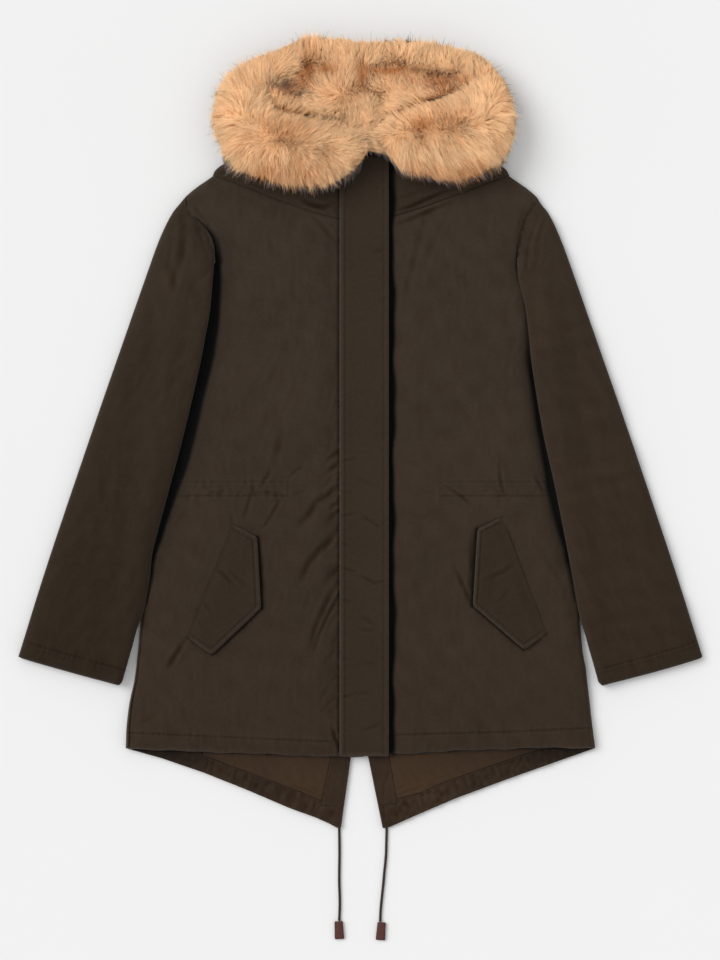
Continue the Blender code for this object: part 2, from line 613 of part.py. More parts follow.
def build_hood_lining(collection):
    """The pile lining that shows in the hood's opening."""
    inner = fur_inner_edge()
    centre = inner.mean(axis=0)
    away = inner - centre
    outline = joined(inner + away / np.hypot(*away.T)[:, None] * LINING_PILE_UNDER)
    sheet = flat_sheet(outline, insets=(5.0, 14.0), grid=24.0, edge=16.0)
    x, y = sheet[0].T
    rise = dome(distance_to(np.vstack((outline, outline[:1])), x, y) / 18.0)
    top = LINING_PILE_EDGE_TOP + (LINING_PILE_TOP - LINING_PILE_EDGE_TOP) * rise
    cloth_solid("hood_lining", sheet, np.full(len(x), BACK_TOP + GAP), top, "fur_lining", collection)


def build_fur_trim(collection):
    """The fur on the hood's edge: a loft of ovals between its outer and inner edge, parted in front."""
    shape = bmesh.new()
    rings = []
    for outer_x, outer_y, inner_x, inner_y, low, high in resampled(FUR_SECTIONS, FUR_STATIONS):
        outer, inner = Vector((outer_x, outer_y, 0.0)), Vector((inner_x, inner_y, 0.0))
        middle, reach = (outer + inner) / 2, (outer - inner) / 2
        ring = []
        for index in range(FUR_SIDES):
            angle = 2 * math.pi * index / FUR_SIDES
            height = (low + high) / 2 + (high - low) / 2 * math.sin(angle)
            point = middle + reach * math.cos(angle)
            ring.append(shape.verts.new((point.x * MM, point.y * MM, height * MM)))
        rings.append(ring)
    for ring, following in zip(rings, rings[1:]):
        for index in range(FUR_SIDES):
            after = (index + 1) % FUR_SIDES
            shape.faces.new((ring[index], ring[after], following[after], following[index]))
    shape.faces.new(rings[0])
    shape.faces.new(rings[-1])
    object_from("fur_trim", mesh_of("fur_trim", shape), "fur_tan", collection)


def resampled(rows, count):
    """The rows of a table read at evenly spaced places along it, on a smooth curve."""
    rows = np.array(rows, float)
    padded = np.vstack((2 * rows[0] - rows[1], rows, 2 * rows[-1] - rows[-2]))
    places = np.linspace(0.0, len(rows) - 1.0, count)
    first = np.minimum(places.astype(int), len(rows) - 2)
    t = (places - first)[:, None]
    before, start, end, after = (padded[first + shift] for shift in range(4))
    return 0.5 * (
        2 * start
        + (end - before) * t
        + (2 * before - 5 * start + 4 * end - after) * t ** 2
        + (3 * start - before - 3 * end + after) * t ** 3
    )


def build_placket(collection):
    """The storm flap over the front opening: sewn along one edge, its other edge standing off."""
    outline = joined(
        straight_run(((PLACKET_SEWN_X, PLACKET_TOP_Y), (PLACKET_SEWN_X, PLACKET_BOTTOM_Y)), 40.0),
        straight_run(((PLACKET_FREE_X, PLACKET_BOTTOM_Y), (PLACKET_FREE_X, PLACKET_TOP_Y)), 40.0),
    )
    sheet = flat_sheet(outline, insets=(5.5,), grid=26.0, edge=40.0)
    x, y = sheet[0].T
    free = smoothstep((x - PLACKET_SEWN_X - 20.0) / (PLACKET_FREE_X - PLACKET_SEWN_X - 20.0))
    below_fur = smoothstep((PLACKET_TOP_Y - 6.0 - y) / 60.0)
    bottom = PLACKET_BED + GAP + PLACKET_LIFT * free * below_fur
    edge = np.minimum(x - PLACKET_SEWN_X, PLACKET_FREE_X - x)
    top = bottom + PLACKET_WALL * (0.7 + 0.3 * dome(edge / 5.5))
    cloth_solid("placket", sheet, bottom, top, "shell_cotton", collection)


def build_tail_inside(side, collection):
    """What shows inside one fishtail: the lining, and the facings along its edge and vent."""
    name = SIDE_NAMES[side]
    vent_side, corner, *low_edge = LINING_LOW[side]
    apex_share = (LINING_TOP_Y - VENT_EDGE[1]) / (VENT_APEX_Y - VENT_EDGE[1])
    vent_top_x = VENT_EDGE[0] * (1 - apex_share) + BACK_MEET_X * apex_share
    lining_top = (vent_side[0] - VENT_EDGE[0] + vent_top_x, LINING_TOP_Y)
    outer = low_edge[-1]
    lining = ((lining_top[0] + GAP, LINING_TOP_Y), (vent_side[0] + GAP, vent_side[1]),
              (corner[0] + GAP, corner[1] + 2 * GAP), *((x, y + 2 * GAP) for x, y in low_edge),
              (outer[0], LINING_TOP_Y))
    vent_facing = ((vent_top_x + GAP, LINING_TOP_Y), (VENT_EDGE[0] + GAP, VENT_EDGE[1]),
                   (TAIL_TIP[0] + GAP, TAIL_TIP[1] + GAP), corner, vent_side, lining_top)
    outside = outer[0] + 2 * GAP
    hem_facing = ((TAIL_TIP[0] + 2 * GAP, TAIL_TIP[1] + GAP),
                  *((x, y + GAP) for x, y in TAIL_EDGE[::-1][:-1]),
                  (TAIL_EDGE[0][0] - 2.0, TAIL_EDGE[0][1] - 2 * GAP),
                  (FACING_SIDE_X + 12.0, FRONT_HEM[side][0][1] - 1.0),
                  (FACING_SIDE_X, FACING_TOP_Y), (outside, FACING_TOP_Y), (outside, outer[1]),
                  *low_edge[-2::-1], (corner[0] + GAP, corner[1]))
    for piece, points, cloth in (
        (f"lining_{name}", lining, "lining_satin"),
        (f"vent_facing_{name}", vent_facing, "shell_cotton"),
        (f"hem_facing_{name}", hem_facing, "shell_cotton"),
    ):
        outline = mirrored(joined(straight_run((*points, points[0]), 60.0)), side)
        sheet = flat_sheet(outline, insets=(), grid=70.0)
        low = np.full(len(sheet[0]), BACK_TOP + GAP)
        cloth_solid(piece, sheet, low, low + FACING_WALL, cloth, collection)


def build_drawcord(side, collection):
    """A drawcord on the surface, from the fishtail's tip to its leather end."""
    name = f"drawcord_{SIDE_NAMES[side]}"
    curve = bpy.data.curves.new(name, "CURVE")
    curve.dimensions = "3D"
    curve.bevel_depth = CORD_DIAMETER / 2 * MM
    curve.bevel_resolution = 2
    curve.use_fill_caps = True
    route = smooth_run(CORD_ROUTES[side], CORD_POINT_STEP)
    spline = curve.splines.new("POLY")
    spline.points.add(len(route) - 1)
    for point, (x, y) in zip(spline.points, route):
        point.co = (x * MM, y * MM, (CORD_DIAMETER / 2 + 0.1) * MM, 1.0)
    curve.materials.append(material("cord_brown"))
    cord = bpy.data.objects.new(name, curve)
    collection.objects.link(cord)


def build_cord_end(side, collection):
    """The folded leather end on a drawcord."""
    name = f"cord_end_{SIDE_NAMES[side]}"
    width, length, height = CORD_END_SIZE
    x, y, turn = CORD_END_AT[side]
    shape = bmesh.new()
    bmesh.ops.create_cube(shape, size=1.0)
    bmesh.ops.scale(shape, vec=(width * MM, length * MM, height * MM), verts=shape.verts)
    made = object_from(name, mesh_of(name, shape), "leather_burgundy", collection)
    made.location = (x * MM, y * MM, height / 2 * MM)
    made.rotation_euler = (0.0, 0.0, math.radians(turn))
    rounded = made.modifiers.new("rounded", "BEVEL")
    rounded.width = 1.2 * MM
    rounded.segments = 2


def main():
    clear_scene()
    collection = garment_collection()
    for side in (LEFT, RIGHT):
        build_back(side, collection)
        build_tail_inside(side, collection)
        build_front(side, collection)
        build_sleeve(side, collection)
        build_collar(side, collection)
        build_hood(side, collection)
        build_drawcord(side, collection)
        build_cord_end(side, collection)
    build_placket(collection)
    build_hood_lining(collection)
    build_fur_trim(collection)


main()
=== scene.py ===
"""Fur trimmed parka laid flat on its back: cloth, fur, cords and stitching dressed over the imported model.

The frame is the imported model's: +X towards the wearer's left, +Y towards the hood, +Z up from the surface
that the parka lies on. Lengths are in millimetres, as on a paper pattern, and become metres when a mesh is
made. Outlines are drawn for the wearer's left and mirrored by a Side; creases are drawn where they lie.
"""

import logging
import math
from collections.abc import Callable, Iterable, Sequence
from dataclasses import dataclass, fields, replace
from enum import Enum

import bpy
import numpy as np
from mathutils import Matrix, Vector
from mathutils.geometry import delaunay_2d_cdt
from mathutils.kdtree import KDTree


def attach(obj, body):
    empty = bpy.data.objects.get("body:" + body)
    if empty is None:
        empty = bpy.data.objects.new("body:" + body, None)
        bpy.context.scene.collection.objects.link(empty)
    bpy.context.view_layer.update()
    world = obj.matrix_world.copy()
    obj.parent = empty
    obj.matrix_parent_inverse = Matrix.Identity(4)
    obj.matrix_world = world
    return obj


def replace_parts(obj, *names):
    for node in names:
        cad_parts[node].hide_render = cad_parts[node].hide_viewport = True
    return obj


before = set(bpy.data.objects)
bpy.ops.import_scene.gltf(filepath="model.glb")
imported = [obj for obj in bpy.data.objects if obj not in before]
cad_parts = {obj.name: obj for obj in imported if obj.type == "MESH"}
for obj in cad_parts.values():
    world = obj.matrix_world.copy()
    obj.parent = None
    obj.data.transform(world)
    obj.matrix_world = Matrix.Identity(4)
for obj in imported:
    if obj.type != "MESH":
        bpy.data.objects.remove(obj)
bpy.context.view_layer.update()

log = logging.getLogger("parka")

Array = np.ndarray
Point = tuple[float, float]
Line = tuple[Point, ...]
Surface = Callable[[Array, Array], Array]
Colour = tuple[float, float, float]
Socket = bpy.types.NodeSocket
Given = Callable[[str], Socket]
Placed = bpy.types.Object

MM = 0.001
ROOT = "root"
OUTLINE_STEP = 3
STAGGER = 0.866


class Side(Enum):
    """Which half of the garment a piece belongs to; the value is the sign of its X."""

    LEFT = 1
    RIGHT = -1

    @property
    def label(self) -> str:
        """The side as it is written in a piece's name."""
        return self.name.lower()

    def mirror(self, points: Iterable[Point]) -> Array:
        """Points drawn for the wearer's left, moved to this side."""
        return np.array(list(points), float) * (self.value, 1)


class Slot(Enum):
    """The record's material slots."""

    SHELL = "shell_cotton"
    LINING = "lining_satin"
    FUR = "fur_tan"
    PILE = "fur_lining"
    CORD = "cord_brown"
    LEATHER = "leather_burgundy"


# ---- Curves and distances
def smoothstep(share: Array) -> Array:
    """0 below 0, 1 above 1, and a soft rise between."""
    share = np.clip(share, 0, 1)
    return share * share * (3 - 2 * share)


def dome(share: Array) -> Array:
    """A quarter circle's rise from 0 to 1, the profile of a padded edge."""
    return np.sqrt(1 - (1 - np.clip(share, 0, 1)) ** 2)


def spline_rows(rows: Array, places: Array) -> Array:
    """Read a table at fractional rows on a smooth curve (Catmull-Rom).

    Args:
        rows: The table, a row for each knot.
        places: Row numbers to read at, with fractions.

    Returns:
        One row of values for each place.
    """
    padded = np.vstack((2 * rows[0] - rows[1], rows, 2 * rows[-1] - rows[-2]))
    first = np.clip(np.floor(places).astype(int), 0, len(rows) - 2)
    t = (places - first)[:, None]
    before, start, end, after = (padded[first + shift] for shift in range(4))
    return 0.5 * (
        2 * start
        + (end - before) * t
        + (2 * before - 5 * start + 4 * end - after) * t**2
        + (3 * start - before - 3 * end + after) * t**3
    )


def smooth_run(knots: Sequence[Point], step: float) -> Array:
    """Points about a step apart on a smooth curve through the knots."""
    rows = np.array(knots, float)
    places = [0]
    for index, length in enumerate(np.hypot(*np.diff(rows, axis=0).T)):
        count = max(1, round(length / step))
        places += [index + (part + 1) / count for part in range(count)]
    return spline_rows(rows, np.array(places))


def straight_run(knots: Sequence[Point], step: float) -> Array:
    """Points about a step apart along straight lines between the knots."""
    run = []
    for start, end in zip(knots, knots[1:]):
        count = max(1, round(math.dist(start, end) / step))
        run += [np.array(start) + (np.array(end) - start) * part / count for part in range(count)]
    return np.array([*run, knots[-1]], float)


def as_line(points: Iterable[Point]) -> Line:
    """Points as a line's knots."""
    return tuple((float(x), float(y)) for x, y in points)


def closed_outline(*runs: Array) -> Array:
    """One closed outline from runs laid end to end, without doubled corners."""
    outline: list[Point] = []
    for run in runs:
        for point in run:
            if not outline or math.dist(outline[-1], point) > 0.25:
                outline.append((float(point[0]), float(point[1])))
    if math.dist(outline[0], outline[-1]) <= 0.25:
        outline.pop()
    return np.array(outline)


def nearest_on(line: Sequence[Point], x: Array, y: Array) -> tuple[Array, Array]:
    """Find where each point is beside an open line.

    Args:
        line: The line's knots.
        x: The points' X.
        y: The points' Y.

    Returns:
        Each point's distance to the line, and how far along it the nearest place is, in millimetres.
    """
    away = np.full(np.shape(x), np.inf)
    along = np.zeros(np.shape(x))
    travelled = 0
    for (x0, y0), (x1, y1) in zip(line, line[1:]):
        dx, dy = x1 - x0, y1 - y0
        length = math.hypot(dx, dy)
        share = np.clip(((x - x0) * dx + (y - y0) * dy) / length**2, 0, 1)
        gap = np.hypot(x - x0 - share * dx, y - y0 - share * dy)
        closer = gap < away
        away = np.where(closer, gap, away)
        along = np.where(closer, travelled + share * length, along)
        travelled += length
    return away, along


def distance_to(line: Sequence[Point], x: Array, y: Array) -> Array:
    """Each point's distance to an open line."""
    return nearest_on(line, x, y)[0]


def edge_distance(outline: Array, x: Array, y: Array) -> Array:
    """Each point's distance to a closed outline's edge."""
    return distance_to(np.vstack((outline, outline[:1])), x, y)


def line_length(line: Sequence[Point]) -> float:
    """The length of an open line."""
    return sum(math.dist(start, end) for start, end in zip(line, line[1:]))


def line_sides(line: Array) -> Array:
    """The unit vectors that point to the left of a line at each of its points."""
    ahead = np.gradient(line, axis=0)
    ahead /= np.hypot(*ahead.T)[:, None]
    return np.stack((-ahead[:, 1], ahead[:, 0]), axis=1)


def unit_rows(rows: Array, least: float = 0) -> Array:
    """Rows at a length of 1, where the least keeps a row of zeros from being divided by none."""
    return rows / (np.linalg.norm(rows, axis=1)[:, None] + least)


def is_inside(outline: Array, x: Array, y: Array) -> Array:
    """Whether each point lies inside a closed outline, by the even-odd rule."""
    inside = np.zeros(np.shape(x), bool)
    for (x0, y0), (x1, y1) in zip(outline, np.roll(outline, -1, axis=0)):
        if y0 != y1:
            crosses = (y0 > y) != (y1 > y)
            inside ^= crosses & (x < (x1 - x0) * (y - y0) / (y1 - y0) + x0)
    return inside


def signed_area(outline: Array) -> float:
    """The area inside a closed outline in square millimetres, negative where it runs clockwise."""
    x, y = outline.T
    return float(np.sum(x * np.roll(y, -1) - np.roll(x, -1) * y)) / 2


# ---- Relief: what is pressed, drawn or folded into cloth
class Relief:
    """Something that is pressed, drawn or folded into cloth.

    Attributes:
        is_small: Whether it is sharp enough to get painted shade in its troughs and a painted highlight on
            its ridges.
    """

    is_small: bool

    def relief(self, x: Array, y: Array) -> Array:
        """How much it raises or lowers each point."""
        raise NotImplementedError

    def mesh_rows(self) -> Array:
        """Points that a mesh needs beside its lattice to take the shape; none for a wide one."""
        return np.empty((0, 2))


@dataclass(frozen=True)
class Crease(Relief):
    """A soft trough with a low shoulder on each side; a negative depth makes it a ridge.

    Attributes:
        width: Its half width.
        shoulder: The shoulders' height, as a share of the depth.
        tapered: Whether it fades out towards its ends, which a stitched line doesn't.
    """

    line: Line
    depth: float
    width: float
    shoulder: float = 0.32
    tapered: bool = True

    def relief(self, x: Array, y: Array) -> Array:
        """How much the crease raises or lowers each point."""
        knots = np.array(self.line)
        low, high = knots.min(axis=0) - 3.4 * self.width, knots.max(axis=0) + 3.4 * self.width
        near = (x > low[0]) & (x < high[0]) & (y > low[1]) & (y < high[1])
        change = np.zeros(np.shape(x))
        if near.any():
            away, along = nearest_on(self.line, x[near], y[near])
            share = along / line_length(self.line)
            fade = np.sin(math.pi * np.clip(share, 0.03, 0.97)) ** 0.7 if self.tapered else 1
            wide = away / self.width
            profile = self.shoulder * np.exp(-(((wide - 1.9) / 0.75) ** 2)) - np.exp(-(wide**2))
            change[near] = self.depth * fade * profile
        return change

    @property
    def is_small(self) -> bool:
        """Whether the crease is sharp enough to get painted shade and highlight in the cloth's colour."""
        return self.width <= 5

    def mesh_rows(self) -> Array:
        """Points on and beside a narrow crease, so that a mesh can take its shape."""
        if self.width > 4:
            return super().mesh_rows()
        line = straight_run(self.line, max(1.5, self.width))
        sides = line_sides(line)
        offsets = (0, 0.7, -0.7, 1.5, -1.5, 2.6, -2.6)
        return np.vstack([line + sides * offset * self.width for offset in offsets])


@dataclass(frozen=True)
class Puckers(Relief):
    """Small uneven ripples across a seam, where its thread draws the cloth in."""

    line: Line
    pitch: float
    height: float
    reach: float
    seed: float = 0
    is_small: bool = True

    def relief(self, x: Array, y: Array) -> Array:
        """How much the puckers raise or lower each point."""
        away, along = nearest_on(self.line, x, y)
        turn = 2 * math.pi * along / self.pitch
        phase = turn + 1.6 * np.sin(turn / 3.7 + self.seed) + 1.1 * np.sin(turn / 7.3 + 2 * self.seed)
        swell = 0.55 + 0.45 * np.sin(turn / 4.3 + 1.7 * self.seed)
        return self.height * np.cos(phase + 0.05 * away) * swell * np.exp(-((away / self.reach) ** 2))


@dataclass(frozen=True)
class Ripples(Relief):
    """Soft irregular waves all over a piece: a seeded sum of crossing sine waves."""

    seed: int
    height: float
    shortest: float
    longest: float
    heading: float = 0
    spread: float = math.pi
    waves: int = 12

    @property
    def is_small(self) -> bool:
        """Whether the waves are short enough to get painted shade and highlight in the cloth's colour."""
        return self.longest <= 45

    def relief(self, x: Array, y: Array) -> Array:
        """How much the waves raise or lower each point."""
        rng = np.random.default_rng(self.seed)
        bend_x = 9 * np.sin(y / 47 + self.seed) + 5 * np.sin(x / 31 + y / 71)
        bend_y = 9 * np.sin(x / 53 + 2 * self.seed) + 5 * np.sin(y / 29 - x / 83)
        total = np.zeros(np.shape(x))
        for _ in range(self.waves):
            length = self.shortest * (self.longest / self.shortest) ** rng.random()
            turn = self.heading + self.spread * (rng.random() - 0.5)
            phase = 2 * math.pi * rng.random()
            across = (x + bend_x) * math.cos(turn) + (y + bend_y) * math.sin(turn)
            total += np.sin(2 * math.pi * across / length + phase)
        return self.height * total / math.sqrt(self.waves / 2)


def folds(*rows: tuple[Line | float, ...]) -> tuple[Crease, ...]:
    """Creases from rows of a line, a depth, a width and, where it isn't the usual one, a shoulder."""
    return tuple(Crease(*row) for row in rows)


def plane(height: float) -> Surface:
    """A surface at one height."""
    return lambda x, y: np.full(np.shape(x), height, float)


def total_relief(parts: Iterable[Relief], x: Array, y: Array) -> Array:
    """The sum of several reliefs at each point."""
    total = np.zeros(np.shape(x))
    for part in parts:
        total += part.relief(x, y)
    return total


# ---- Pattern and layers
@dataclass(frozen=True)
class Pattern:
    """The cut lines of one half, drawn for the wearer's left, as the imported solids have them.

    The body's run down its side and in along its edges; the sleeve's run down, across and up again.
    """

    side: Side
    side_seam: Line
    hem: Line
    tail_edge: Line
    vent_edge: tuple[Point, Point]
    sleeve_outer: Line
    cuff: Line
    sleeve_inner: Line
    neck: Line = ((4, 287), (30, 290), (60, 298), (90, 308), (120, 319), (150, 331), (180, 342), (200, 348))
    shoulder: Line = ((200, 348), (223, 332), (236, 321), (238, 318))
    armhole: Line = ((238, 318), (232, 299), (217, 285.5), (205, 272), (198.5, 256), (196, 233))
    armhole_under: Line = ((196, 233), (203, 217.5), (217, 204), (235, 195))
    collar_end: Line = ((200, 348.4), (196.5, 356), (187, 364))
    collar_top: Line = ((187, 364), (150, 371), (90, 374), (4, 374))
    hood_edge: Line = ((184, 349), (186, 385), (182, 420), (170, 450), (146, 477), (110, 496), (60, 506),
                       (0.15, 508))
    vent_top_y: float = -358
    back_neck_y: float = 348

    def lies(self, *lines: Line, step: float = 9) -> Array:
        """Smooth curves through some cut lines, end to end on this side, without doubled points."""
        runs = [smooth_run(line, step) for line in lines]
        kept = [runs[0], *(run[math.dist(before[-1], run[0]) < 0.01:] for before, run in zip(runs, runs[1:]))]
        return self.side.mirror(np.vstack(kept))

    def away(self, x: Array, y: Array, *lines: Line, step: float = 9) -> Array:
        """Each point's distance to some cut lines, laid end to end on this side."""
        return distance_to(self.lies(*lines, step=step), x, y)

    def outline(self, *lines: Line, step: float = OUTLINE_STEP) -> Array:
        """The closed outline that smooth curves through some cut lines make on this side."""
        return closed_outline(*(self.side.mirror(smooth_run(line, step)) for line in lines))


PATTERNS = {
    Side.RIGHT: Pattern(
        Side.RIGHT,
        ((235, 195), (252, 60), (270, -75), (283, -160), (295, -234), (300.5, -289), (305.2, -329),
         (312, -361), (316, -393), (317.2, -423)),
        ((317.2, -423), (250, -426.5), (150, -430), (31, -434.5), (-4, -434.5)),
        ((317.2, -423), (268.7, -436.9), (212, -456.4), (155.2, -479), (98.6, -503.2), (60.8, -517),
         (41.9, -525.5), (33, -530.5), (28, -531.5)),
        ((13.8, -436), (27, -530.5)),
        ((238, 318), (244.4, 311), (256.4, 295), (272, 262.6), (289.6, 214), (323.6, 116.8), (362.9, 3.4),
         (423, -174.8), (462, -299.6)),
        ((462, -299.6), (449.2, -304.4), (392.6, -320.6), (333, -336.5), (325, -337)),
        ((321.6, -333), (309, -289), (301.5, -262), (292.5, -238), (284, -190), (280, -156), (258.5, -75),
         (237, 6), (218, 87), (210, 128), (203, 168), (197.5, 232))),
    Side.LEFT: Pattern(
        Side.LEFT,
        ((235, 195), (252, 60), (270, -75), (283, -160), (293.5, -234), (298.4, -289), (303.2, -316),
         (305, -332), (308.4, -361), (312, -393), (316, -423)),
        ((316, -423), (250, -422.5), (150, -425.5), (39, -431), (4, -431.5)),
        ((316, -423), (254, -445), (190, -467.8), (126, -491.7), (74.5, -513.8), (45, -527), (37.5, -530),
         (30, -531.2)),
        ((9.9, -436), (29, -530.2)),
        ((238, 318), (242.6, 311), (254.6, 295), (269.6, 262.6), (287.4, 214), (321.4, 116.8), (360.9, 3.4),
         (420.9, -174.8), (460.5, -299.6)),
        ((460.5, -299.6), (450, -304.4), (395, -320.6), (332, -336.8), (324.5, -338.2)),
        ((320, -333.7), (307.2, -289), (302, -270), (294.5, -246), (285.5, -196), (278, -156), (262, -75),
         (244.4, 6), (231, 87), (226.5, 128), (222, 165), (216.5, 190), (211.5, 212), (210.5, 228)),
        armhole=((238, 318), (229, 306), (221, 293), (214.6, 273), (211.3, 249), (210, 229)),
        armhole_under=((210, 229), (213.5, 215), (222, 203), (235, 195))),
}


@dataclass(frozen=True)
class Layers:
    """Heights above the surface, and walls, of pieces that lie on each other."""

    gap: float = 0.3
    back_top: float = 4
    facing_wall: float = 1.2
    seam_wall: float = 3
    front_air: float = 3
    front_full: float = 16.5
    collar_full: float = 14
    placket_bed: float = 12
    placket_wall: float = 4
    placket_lift: float = 3.4
    flap_wall: float = 3.4
    flap_lift: float = 2.4
    sleeve_wall: float = 3.5
    sleeve_air: float = 3
    sleeve_puff: float = 8.5
    sleeve_clearance: float = 1.6

    @property
    def front_seam_bottom(self) -> float:
        """The underside of a front at its seams."""
        return self.back_top + self.gap

    @property
    def front_seam_top(self) -> float:
        """The outside of a front where it is pressed at a seam."""
        return self.front_seam_bottom + self.seam_wall


LAYERS = Layers()


# ---- Node wiring
class Wiring:
    """A node tree that is wired by short calls."""

    def __init__(self, tree: bpy.types.NodeTree) -> None:
        """Take a tree to add nodes to.

        Args:
            tree: A material's or group's node tree.
        """
        self.tree = tree

    def node(self, kind: str, inputs: dict[str | int, object] | None = None,
             **settings: object) -> bpy.types.Node:
        """Add a node, set its options, and set or link its inputs.

        Args:
            kind: The node's type, without its ShaderNode prefix.
            inputs: Values, or sockets to link, by input name or number.
            settings: The node's own options.

        Returns:
            The new node.
        """
        made = self.tree.nodes.new(f"ShaderNode{kind}")
        for option, value in settings.items():
            setattr(made, option, value)
        self.feed(made, inputs or {})
        return made

    def feed(self, node: bpy.types.Node, inputs: dict[str | int, object]) -> None:
        """Link sockets to a node's inputs, or set the inputs' values."""
        for name, value in inputs.items():
            if isinstance(value, Socket):
                self.tree.links.new(value, node.inputs[name])
            else:
                node.inputs[name].default_value = value

    @property
    def here(self) -> Socket:
        """The place on the object, in metres."""
        return self.node("TexCoord").outputs["Object"]

    def math(self, operation: str, first: object, second: object = 0, clamp: bool = False) -> Socket:
        """The result of a Math node."""
        return self.node("Math", {0: first, 1: second}, operation=operation, use_clamp=clamp).outputs[0]

    def scaled(self, value: object, factor: object, more: object) -> Socket:
        """A value times a factor, plus more."""
        return self.math("ADD", self.math("MULTIPLY", value, factor), more)

    def grey(self, level: object) -> Socket:
        """The grey of a level."""
        return self.node("CombineColor", {0: level, 1: level, 2: level}).outputs[0]

    def bump(self, height: object, strength: float, distance: float) -> Socket:
        """The normal of a raised height."""
        return self.node("Bump", {"Height": height, "Strength": strength, "Distance": distance}).outputs[0]

    def mix(self, factor: object, first: object, second: object, blend: str = "MIX") -> Socket:
        """The colour from a Mix node in one of its blend modes."""
        made = self.node("Mix", data_type="RGBA", blend_type=blend)
        place = {socket.identifier: number for number, socket in enumerate(made.inputs)}
        self.feed(made, {place["Factor_Float"]: factor, place["A_Color"]: first, place["B_Color"]: second})
        return next(socket for socket in made.outputs if socket.identifier == "Result_Color")

    def ramp(self, factor: object, stops: Sequence[tuple[float, Colour]]) -> Socket:
        """The colour from a colour ramp through the stops."""
        made = self.node("ValToRGB", {0: factor})
        elements = made.color_ramp.elements
        while len(elements) < len(stops):
            elements.new(0.5)
        for element, (place, colour) in zip(elements, stops):
            element.position, element.color = place, (*colour, 1)
        return made.outputs["Color"]

    def noise(self, scale: object, place: object, detail: float = 3) -> Socket:
        """A noise texture's value."""
        return self.node("TexNoise", {"Scale": scale, "Vector": place, "Detail": detail}).outputs["Fac"]

    def attribute(self, name: str) -> Socket:
        """A mesh attribute's number."""
        return self.node("Attribute", attribute_name=name).outputs["Fac"]


SOCKETS = {"colour": "NodeSocketColor", "value": "NodeSocketFloat", "vector": "NodeSocketVector"}


@dataclass
class ShaderGroup:
    """A shared effect: a node group with named inputs and outputs, built once.

    Attributes:
        name: The group's name.
        inputs: Each input's kind and default, by name.
        outputs: Each output's kind, by name.
        build: Wires the group and returns what feeds each output.
    """

    name: str
    inputs: dict[str, tuple[str, object]]
    outputs: dict[str, str]
    build: Callable[[Wiring, Given], dict[str, Socket]]

    def tree(self) -> bpy.types.NodeTree:
        """The group's tree, made at its first use."""
        if self.name in bpy.data.node_groups:
            return bpy.data.node_groups[self.name]
        tree = bpy.data.node_groups.new(self.name, "ShaderNodeTree")
        for name, (kind, default) in self.inputs.items():
            socket = tree.interface.new_socket(name, in_out="INPUT", socket_type=SOCKETS[kind])
            socket.default_value = default
        for name, kind in self.outputs.items():
            tree.interface.new_socket(name, in_out="OUTPUT", socket_type=SOCKETS[kind])
        source = tree.nodes.new("NodeGroupInput")
        sink = tree.nodes.new("NodeGroupOutput")
        results = self.build(Wiring(tree), lambda name: source.outputs[name])
        for name, socket in results.items():
            tree.links.new(socket, sink.inputs[name])
        return tree

    def place(self, wiring: Wiring, **values: object) -> bpy.types.Node:
        """Add the group to a material with its own values.

        Args:
            wiring: The material's wiring.
            values: Input values or sockets, by input name with _ for a space.

        Returns:
            The group node.
        """
        inputs = {name.replace("_", " "): value for name, value in values.items()}
        return wiring.node("Group", inputs, node_tree=self.tree())


def build_weave(w: Wiring, given: Given) -> dict[str, Socket]:
    """Wire a twill: fine diagonal ribs, crossed by the finer threads.

    Args:
        w: The group's wiring.
        given: Reads one of the group's inputs by name.

    Returns:
        What feeds each output.
    """
    place = w.here
    turned = w.node("VectorRotate", {"Vector": place, "Angle": given("Turn")},
                    rotation_type="Z_AXIS").outputs[0]
    ribs = w.node("TexWave", {"Vector": turned, "Scale": given("Threads"), "Distortion": 0.6, "Detail": 1},
                  wave_type="BANDS", bands_direction="DIAGONAL")
    finer = w.math("MULTIPLY", given("Threads"), 1.7)
    warp = w.node("TexWave", {"Vector": turned, "Scale": finer, "Distortion": 0.3},
                  wave_type="BANDS", bands_direction="X")
    height = w.scaled(warp.outputs["Fac"], 0.4, ribs.outputs["Fac"])
    return {"Height": w.scaled(w.noise(60, place, detail=2), 0.5, height)}


WEAVE = ShaderGroup(
    "Twill weave", {"Threads": ("value", 420), "Turn": ("value", 0)}, {"Height": "value"}, build_weave,
)


